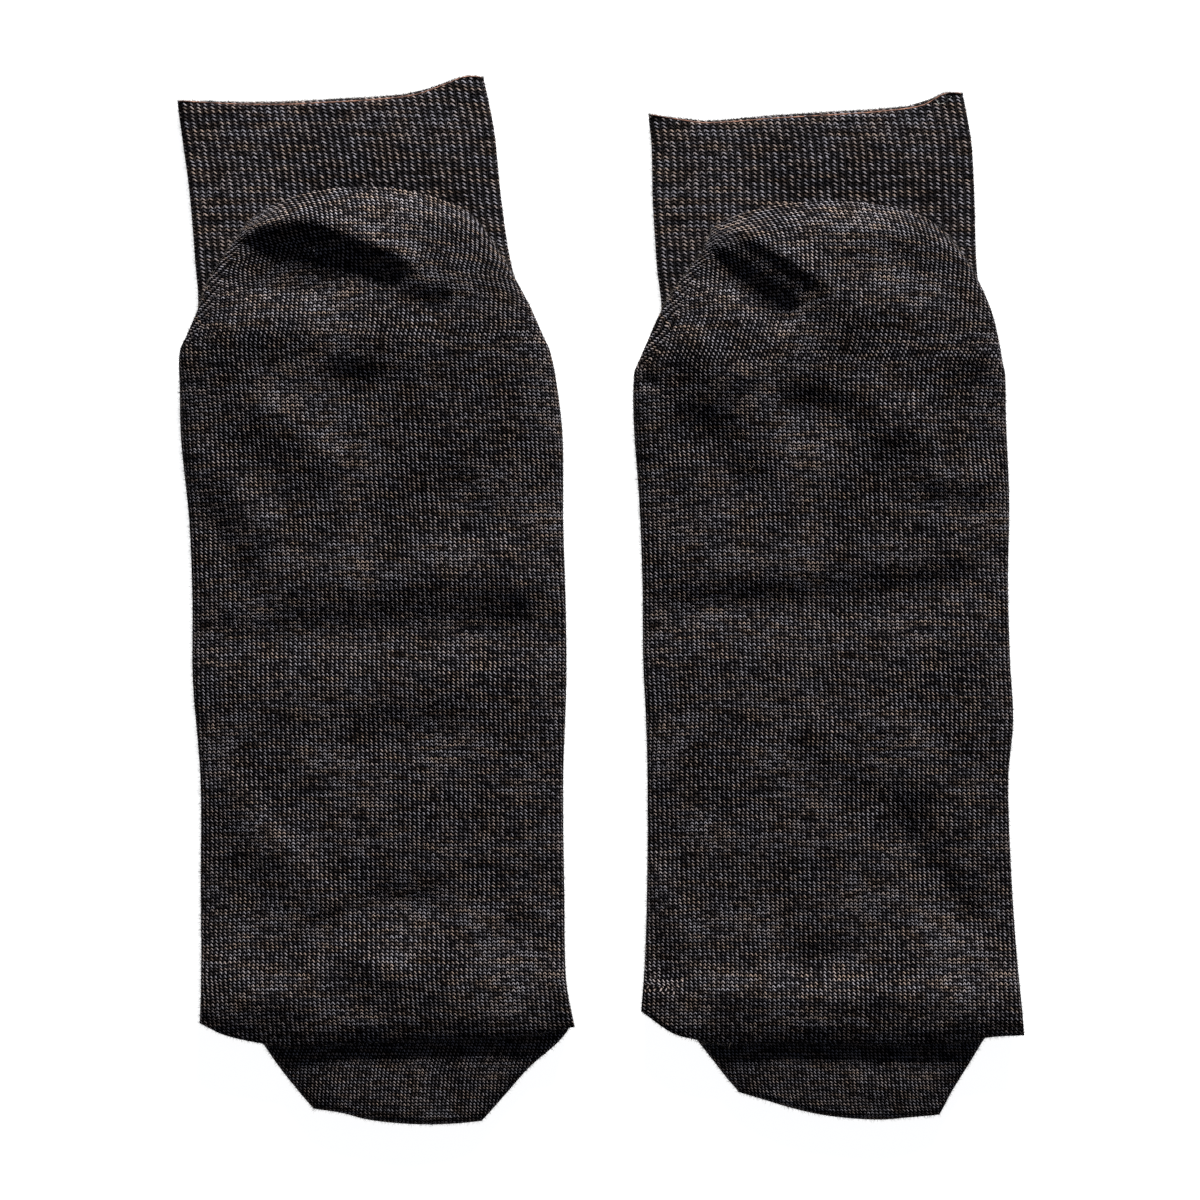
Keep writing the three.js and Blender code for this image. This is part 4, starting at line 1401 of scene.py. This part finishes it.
@dataclass(frozen=True)
class LooseFibre:
    """Loose wool fibre, teased out of the yarn: thin, dull and a little paler than the cloth.

    Attributes:
        name: The material's name.
        dark: Colour of its darkest fibres.
        pale: Colour of its palest fibres.
    """

    name: str
    dark: str
    pale: str

    def build(self) -> bpy.types.Material:
        """Return the material."""
        material = bare_material(self.name)
        tree = material.node_tree
        where = add_node(tree, "ShaderNodeTexCoord").outputs["Object"]
        # the tone changes from fibre to fibre, over about 2 mm
        noise = add_node(tree, "ShaderNodeTexNoise", {"Vector": where, "Scale": 500.0, "Detail": 1.0})
        ramp = add_node(tree, "ShaderNodeValToRGB", {"Fac": noise.outputs["Fac"]})
        for element, position, colour in zip(ramp.color_ramp.elements, (0.3, 0.7), (self.dark, self.pale)):
            element.position, element.color = position, linear(colour)
        shader = add_node(
            tree,
            "ShaderNodeBsdfPrincipled",
            {"Base Color": ramp.outputs["Color"], "Roughness": 0.85, "Specular IOR Level": 0.2},
        )
        add_node(tree, "ShaderNodeOutputMaterial", {"Surface": shader.outputs[0]})
        return material


@dataclass
class FibreBundle:
    """Many thin fibres, made as one mesh of closed three-sided spikes.

    Attributes:
        roots: Where each fibre starts, in millimetres.
        ways: Which way each fibre sets out.
        lengths: Each fibre's length.
        radii: Each fibre's radius at its root.
        curl: How much a fibre turns from one segment to the next.
        segments: How many segments a fibre has.
        lowest: The lowest height that a fibre may reach.
        tip_share: The share of its root's radius that a fibre thins to before it ends in a point.
    """

    roots: np.ndarray
    ways: np.ndarray
    lengths: np.ndarray
    radii: np.ndarray
    curl: float = 0.35
    segments: int = 3
    lowest: float = 0.06
    tip_share: float = 0.45

    def lines(self, rng: np.random.Generator) -> np.ndarray:
        """Return each fibre's points, as fibres by points by three."""
        heading = self.ways / np.linalg.norm(self.ways, axis=1, keepdims=True)
        swerve = rng.normal(0, 1, heading.shape)
        line = [self.roots]
        for _ in range(self.segments):
            swerve = 0.7 * swerve + rng.normal(0, 0.7, heading.shape)
            heading = heading + self.curl * swerve
            heading /= np.linalg.norm(heading, axis=1, keepdims=True)
            step = line[-1] + heading * (self.lengths / self.segments)[:, None]
            step[:, 2] = np.maximum(step[:, 2], self.lowest)
            line.append(step)
        return np.stack(line, 1)

    def build(self, name: str, rng: np.random.Generator) -> bpy.types.Object:
        """Return the fibres as an object.

        Args:
            name: The object's name.
            rng: The source of random numbers.

        Returns:
            The object.
        """
        line = self.lines(rng)
        count, sides = len(line), 3
        way = self.ways / np.linalg.norm(self.ways, axis=1, keepdims=True)
        side = np.cross(way, rng.normal(0, 1, way.shape))
        side /= np.linalg.norm(side, axis=1, keepdims=True)
        turn = 2 * math.pi * np.arange(sides) / sides
        spoke = side[:, None] * np.cos(turn)[:, None] + np.cross(way, side)[:, None] * np.sin(turn)[:, None]
        taper = lerp(1.0, self.tip_share, np.arange(self.segments) / self.segments)
        rings = line[:, :-1, None] + spoke[:, None] * (self.radii[:, None] * taper)[..., None, None]
        points = np.concatenate([rings.reshape(count, -1, 3), line[:, -1:]], axis=1)
        faces = [(2, 1, 0)]
        around = [(a, (a + 1) % sides) for a in range(sides)]
        for ring in range(0, sides * (self.segments - 1), sides):
            faces += [(ring + a, ring + b, ring + sides + b) for a, b in around]
            faces += [(ring + a, ring + sides + b, ring + sides + a) for a, b in around]
        tip = sides * self.segments
        faces += [(tip - sides + a, tip - sides + b, tip) for a, b in around]
        offsets = points.shape[1] * np.arange(count)[:, None, None]
        all_faces = (np.array(faces)[None] + offsets).reshape(-1, 3).tolist()
        return mesh_object(name, points.reshape(-1, 3) * MM, all_faces)


@dataclass
class LaidYarn:
    """A single yarn that lies along a line.

    Attributes:
        line: The points that it follows, in millimetres.
        radius: Its radius.
        sides: How many flat sides stand for its round section.
    """

    line: np.ndarray
    radius: float = 0.17
    sides: int = 6

    def build(self, name: str) -> bpy.types.Object:
        """Return the yarn as an object."""
        ahead = np.gradient(self.line, axis=0)
        aside = np.cross(ahead, (0, 0, 1))
        aside /= np.linalg.norm(aside, axis=1, keepdims=True)
        over = np.cross(aside, ahead)
        over /= np.linalg.norm(over, axis=1, keepdims=True)
        turn = 2 * math.pi * np.arange(self.sides) / self.sides
        spokes = aside[:, None] * np.cos(turn)[:, None] + over[:, None] * np.sin(turn)[:, None]
        points = self.line[:, None] + self.radius * spokes
        rings = self.sides * np.arange(len(self.line) - 1)
        around = [(a, (a + 1) % self.sides) for a in range(self.sides)]
        faces = [(r + a, r + b, r + self.sides + b, r + self.sides + a) for r in rings for a, b in around]
        last = self.sides * (len(self.line) - 1)
        faces += [tuple(range(self.sides))[::-1], tuple(range(last, last + self.sides))]
        return mesh_object(name, points.reshape(-1, 3) * MM, faces)


@dataclass
class Fuzz:
    """The halo of loose fibres on a sock.

    Attributes:
        shape: The sock's sizes.
        per_square_cm: How many short fibres stand on a square centimetre of the cloth.
        per_edge_mm: How many stand out round the outline, for each millimetre of it.
        hairs: How many longer curly hairs lie on the cloth.
        yarn_end_fibres: How many fibres the frayed end of yarn has.
    """

    shape: SockShape
    per_square_cm: float = 24.0
    per_edge_mm: float = 11.0
    hairs: int = 260
    yarn_end_fibres: int = 34

    def scatter(self, layer: Layer, count: int, rng: np.random.Generator) -> tuple[np.ndarray, np.ndarray]:
        """Return places spread evenly over a layer, and the way that the cloth faces there.

        Args:
            layer: The layer.
            count: How many places.
            rng: The source of random numbers.

        Returns:
            The places, and the unit vectors that stand on the cloth there.
        """
        points = layer.points
        a, b, c = points[:-1, :-1], points[:-1, 1:], points[1:, :-1]
        normal = np.cross(c - a, b - a)
        area = np.linalg.norm(normal, axis=-1)
        normal /= np.maximum(area, 1e-9)[..., None]
        pick = rng.choice(area.size, count, p=(area / area.sum()).ravel())
        i, j = np.unravel_index(pick, area.shape)
        s, t = rng.uniform(0, 1, (2, count, 1))
        above = lerp(points[i, j], points[i, j + 1], s)
        below = lerp(points[i + 1, j], points[i + 1, j + 1], s)
        return lerp(above, below, t), normal[i, j]

    def surface(self, layers: Sequence[Layer], rng: np.random.Generator) -> FibreBundle:
        """Return the short fibres that stand on the cloth."""
        roots, ways = [], []
        for layer in layers:
            square_cm = np.ptp(layer.points[..., 0]) * np.ptp(layer.points[..., 1]) / 100
            place, normal = self.scatter(layer, int(square_cm * self.per_square_cm), rng)
            roots.append(place - 0.05 * normal)
            ways.append(0.45 * normal + rng.normal(0, 0.6, normal.shape))
        count = sum(len(r) for r in roots)
        lengths, radii = rng.uniform(0.5, 1.6, count), rng.uniform(0.018, 0.034, count)
        return FibreBundle(np.concatenate(roots), np.concatenate(ways), lengths, radii)

    def edge(self, outlines: Sequence[np.ndarray], rng: np.random.Generator) -> FibreBundle:
        """Return the fibres that stand out round the outline."""
        roots, ways = [], []
        for outline in outlines:
            steps = np.linalg.norm(np.diff(outline[:, :3], axis=0), axis=1)
            count = int(steps.sum() * self.per_edge_mm)
            pick = rng.choice(len(steps), count, p=steps / steps.sum())
            place = lerp(outline[pick], outline[pick + 1], rng.uniform(0, 1, (count, 1)))
            roots.append(place[:, :3] - 0.1 * place[:, 3:])
            ways.append(place[:, 3:] + rng.normal(0, 0.7, (count, 3)))
        count = sum(len(r) for r in roots)
        lengths, radii = rng.uniform(0.35, 1.35, count), rng.uniform(0.018, 0.034, count)
        return FibreBundle(np.concatenate(roots), np.concatenate(ways), lengths, radii, segments=2)

    def long_hairs(self, layer: Layer, rng: np.random.Generator) -> FibreBundle:
        """Return the curly hairs that lie on the cloth."""
        place, normal = self.scatter(layer, self.hairs, rng)
        ways = rng.normal(0, 1, place.shape) * (1, 1, 0.1) + 0.25 * normal
        lengths, radii = rng.uniform(2, 4.5, self.hairs), rng.uniform(0.025, 0.04, self.hairs)
        return FibreBundle(place, ways, lengths, radii, curl=0.4, segments=8)

    def yarn_end(self, rng: np.random.Generator) -> FibreBundle:
        """Return the frayed end of yarn that stands up at the cuff."""
        left, right, y = self.shape.yarn_end
        count = self.yarn_end_fibres
        place = np.stack([rng.uniform(left, right, count), y + rng.uniform(-0.8, 0.8, count)], -1)
        roots = np.column_stack([place, rng.uniform(1.2, 3.4, count)])
        ways = rng.normal(0, 0.5, (count, 3)) + (0.1, 1, 0.35)
        lengths, radii = rng.uniform(1.6, 4.2, count), rng.uniform(0.03, 0.055, count)
        return FibreBundle(roots, ways, lengths, radii, curl=0.45, segments=6)

    def build(
        self,
        layers: Sequence[Layer],
        outlines: Sequence[np.ndarray],
        finishes: Mapping[str, bpy.types.Material],
    ) -> None:
        """Make the sock's fuzz, its hairs and its frayed yarn end.

        Args:
            layers: The layers that show.
            outlines: Lines of points along the edges that show, each with its way out.
            finishes: The materials by name.
        """
        rng = np.random.default_rng(self.shape.seed + 5)
        bundles = [
            ("fuzz", self.surface(layers, rng), "fibre"),
            ("edge_fuzz", self.edge(outlines, rng), "halo"),
            ("hairs", self.long_hairs(layers[1], rng), "halo"),
        ]
        if self.shape.yarn_end:
            bundles.append(("yarn_end", self.yarn_end(rng), "yarn_end"))
        for kind, bundle, finish in bundles:
            piece = bundle.build(f"{self.shape.name}_{kind}", rng)
            piece.data.materials.append(finishes[finish])
            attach(piece, "root")
            report(piece)


def edge_outline(points: np.ndarray, outward: Sequence[float]) -> np.ndarray:
    """Return a line of points with the same way out beside each.

    Args:
        points: The line's points.
        outward: The way out, in x, y and z.

    Returns:
        Points by six: each point, then the way out.
    """
    return np.hstack([points, np.repeat(np.array(outward, float)[None], len(points), axis=0)])


def report(piece: bpy.types.Object) -> None:
    """Log a piece's name and how many faces it has."""
    LOG.info("%s: %d faces", piece.name, len(piece.data.polygons))


@dataclass
class Sock:
    """One sock: its leg, sole and toe, and the fibres on them.

    Attributes:
        shape: The sock's sizes.
        rib_gauge: The size of a rib's stitches.
        foot_gauge: The size of the foot's stitches.
        toe_gauge: The size of the toe's stitches.
    """

    shape: SockShape
    rib_gauge: Gauge = Gauge(wale=1.78, course=0.95)
    foot_gauge: Gauge = Gauge(wale=1.16, course=0.86)
    toe_gauge: Gauge = Gauge(wale=0.97, course=0.78)

    def build(self, finishes: Mapping[str, bpy.types.Material]) -> None:
        """Make the sock's pieces.

        Args:
            finishes: The materials by name.
        """
        sole = Sole(self.shape, self.foot_gauge)
        leg = RibbedLeg(self.shape, self.rib_gauge, ankle=sole.line_at(sole.ankle_at))
        toe = Toe(self.shape, self.toe_gauge, mouth=sole.line_at(sole.slot_at))
        cuts = (
            (leg, finishes["ribbed"], (0.158, 0.068), "laid"),
            (sole, finishes["plain"], (0.186, 0.206), "folded"),
            (toe, finishes["plain"], (0.128, 0.034), "laid"),
        )
        for stretch, wool, flat, held in cuts:
            piece = stretch.build(wool)
            report(piece)
        # the cuff's front edge is the fuzziest, so it comes three times
        edges = (
            (sole.shown.points[:, 0], (-1, 0, 0.3)),
            (sole.shown.points[:, -1], (1, 0, 0.3)),
            (sole.shown.points[-1], (0, -1, 0.3)),
            (leg.shown.points[:, 0], (-1, 0, 0.3)),
            (leg.shown.points[:, -1], (1, 0, 0.3)),
            (leg.shown.points[0], (0, 1, 0.5)),
            *[(leg.front.points[0], (0, 1, 0.5))] * 3,
            (toe.shown.points[:, 0], (-1, -0.5, 0.3)),
            (toe.shown.points[:, -1], (1, -0.5, 0.3)),
            (toe.shown.points[-1], (0, -1, 0.3)),
        )
        outlines = [edge_outline(points, outward) for points, outward in edges]
        Fuzz(self.shape).build([leg.shown, sole.shown, toe.shown], outlines, finishes)
        rim = LaidYarn(leg.shown.points[2, 2:-2] + (0, 0, 0.08)).build(f"{self.shape.name}_rim_yarn")
        rim.data.materials.append(finishes["rim"])
        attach(rim, "root")
        report(rim)


@dataclass(frozen=True)
class Studio:
    """The floor, the light and the camera.

    Attributes:
        frame_width: Width of the photographed square at the socks' mean height, in metres.
        lens: Focal length, in millimetres.
        sensor: Sensor width, in millimetres.
        subject_height: The socks' mean height, in metres.
        key_place: Where the middle of the soft key light stands, in metres.
        key_size: Width of its square face, in metres.
        key_power: Its power, in watts.
        sky: Strength of the light from all round.
        floor_glow: How bright the floor shines by itself, like a light table.
        floor_half: Half its width, in metres.
        floor_depth: How far it lies below the socks, in metres.
    """

    frame_width: float = 0.3
    lens: float = 100.0
    sensor: float = 36.0
    subject_height: float = 0.004
    key_place: tuple[float, float, float] = (0.12, 0.93, 0.32)
    key_size: float = 0.28
    key_power: float = 32.0
    sky: float = 0.15
    floor_glow: float = 0.95
    floor_half: float = 3.0
    floor_depth: float = 0.0004

    def build(self) -> None:
        """Make the floor, the light and the camera."""
        scene = bpy.context.scene
        scene.view_settings.view_transform = "Standard"
        self.lay_floor()
        self.light_scene(scene)
        camera_data = bpy.data.cameras.new("Camera")
        camera_data.lens, camera_data.sensor_width = self.lens, self.sensor
        camera_data.clip_start = 0.01
        camera = bpy.data.objects.new("Camera", camera_data)
        distance = self.frame_width * self.lens / self.sensor
        camera.location = (0, 0, distance + self.subject_height)
        scene.collection.objects.link(camera)
        scene.camera = camera

    def lay_floor(self) -> None:
        """Lay a plain floor just under the socks, glowing so that no shadow greys it."""
        half, below = self.floor_half, -self.floor_depth
        corners = [(-half, -half, below), (half, -half, below), (half, half, below), (-half, half, below)]
        floor = mesh_object("floor", np.array(corners), [(0, 1, 2, 3)])
        material = bpy.data.materials.new("opal_glass")
        material.use_nodes = True
        shader = material.node_tree.nodes["Principled BSDF"]
        shader.inputs["Base Color"].default_value = linear("#b0b0b0")
        shader.inputs["Emission Color"].default_value = linear("#ffffff")
        shader.inputs["Emission Strength"].default_value = self.floor_glow
        shader.inputs["Roughness"].default_value = 0.9
        shader.inputs["Specular IOR Level"].default_value = 0.0
        floor.data.materials.append(material)

    def light_scene(self, scene: bpy.types.Scene) -> None:
        """Light the scene with one soft low lamp beyond the cuffs and an even sky."""
        world = bpy.data.worlds.new("sky")
        world.use_nodes = True
        background = world.node_tree.nodes["Background"]
        background.inputs["Strength"].default_value = self.sky
        background.inputs["Color"].default_value = linear("#d9e4ff")
        scene.world = world
        lamp = bpy.data.lights.new("key", "AREA")
        lamp.size, lamp.energy = self.key_size, self.key_power
        key = bpy.data.objects.new("key", lamp)
        key.location = self.key_place
        key.rotation_euler = (-Vector(self.key_place)).to_track_quat("-Z", "Y").to_euler()
        scene.collection.objects.link(key)


def main() -> None:
    """Build both socks and the studio."""
    logging.basicConfig(level=logging.INFO, format="%(message)s")
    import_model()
    finishes = {
        "plain": KnittedWool("merino_wool_plain_knit", PLAIN_STITCH).build(),
        # the rib knit's pale fibres and painted highlight are a little darker
        "ribbed": KnittedWool("merino_wool_rib_knit", RIB_STITCH, fleck_and_highlight="#888281").build(),
        "fibre": LooseFibre("loose_merino_fibre", "#0f0e0e", "#4a4542").build(),
        "halo": LooseFibre("pale_merino_fibre", "#262321", "#7f776f").build(),
        "rim": LooseFibre("covered_elastic_yarn", "#2e1d1a", "#86604f").build(),
        "yarn_end": LooseFibre("frayed_yarn_end", "#7f827c", "#cfd1cb").build(),
    }
    for shape in (LEFT_SOCK, RIGHT_SOCK):
        Sock(shape).build(finishes)
    Studio().build()


if __name__ == "__main__":
    main()
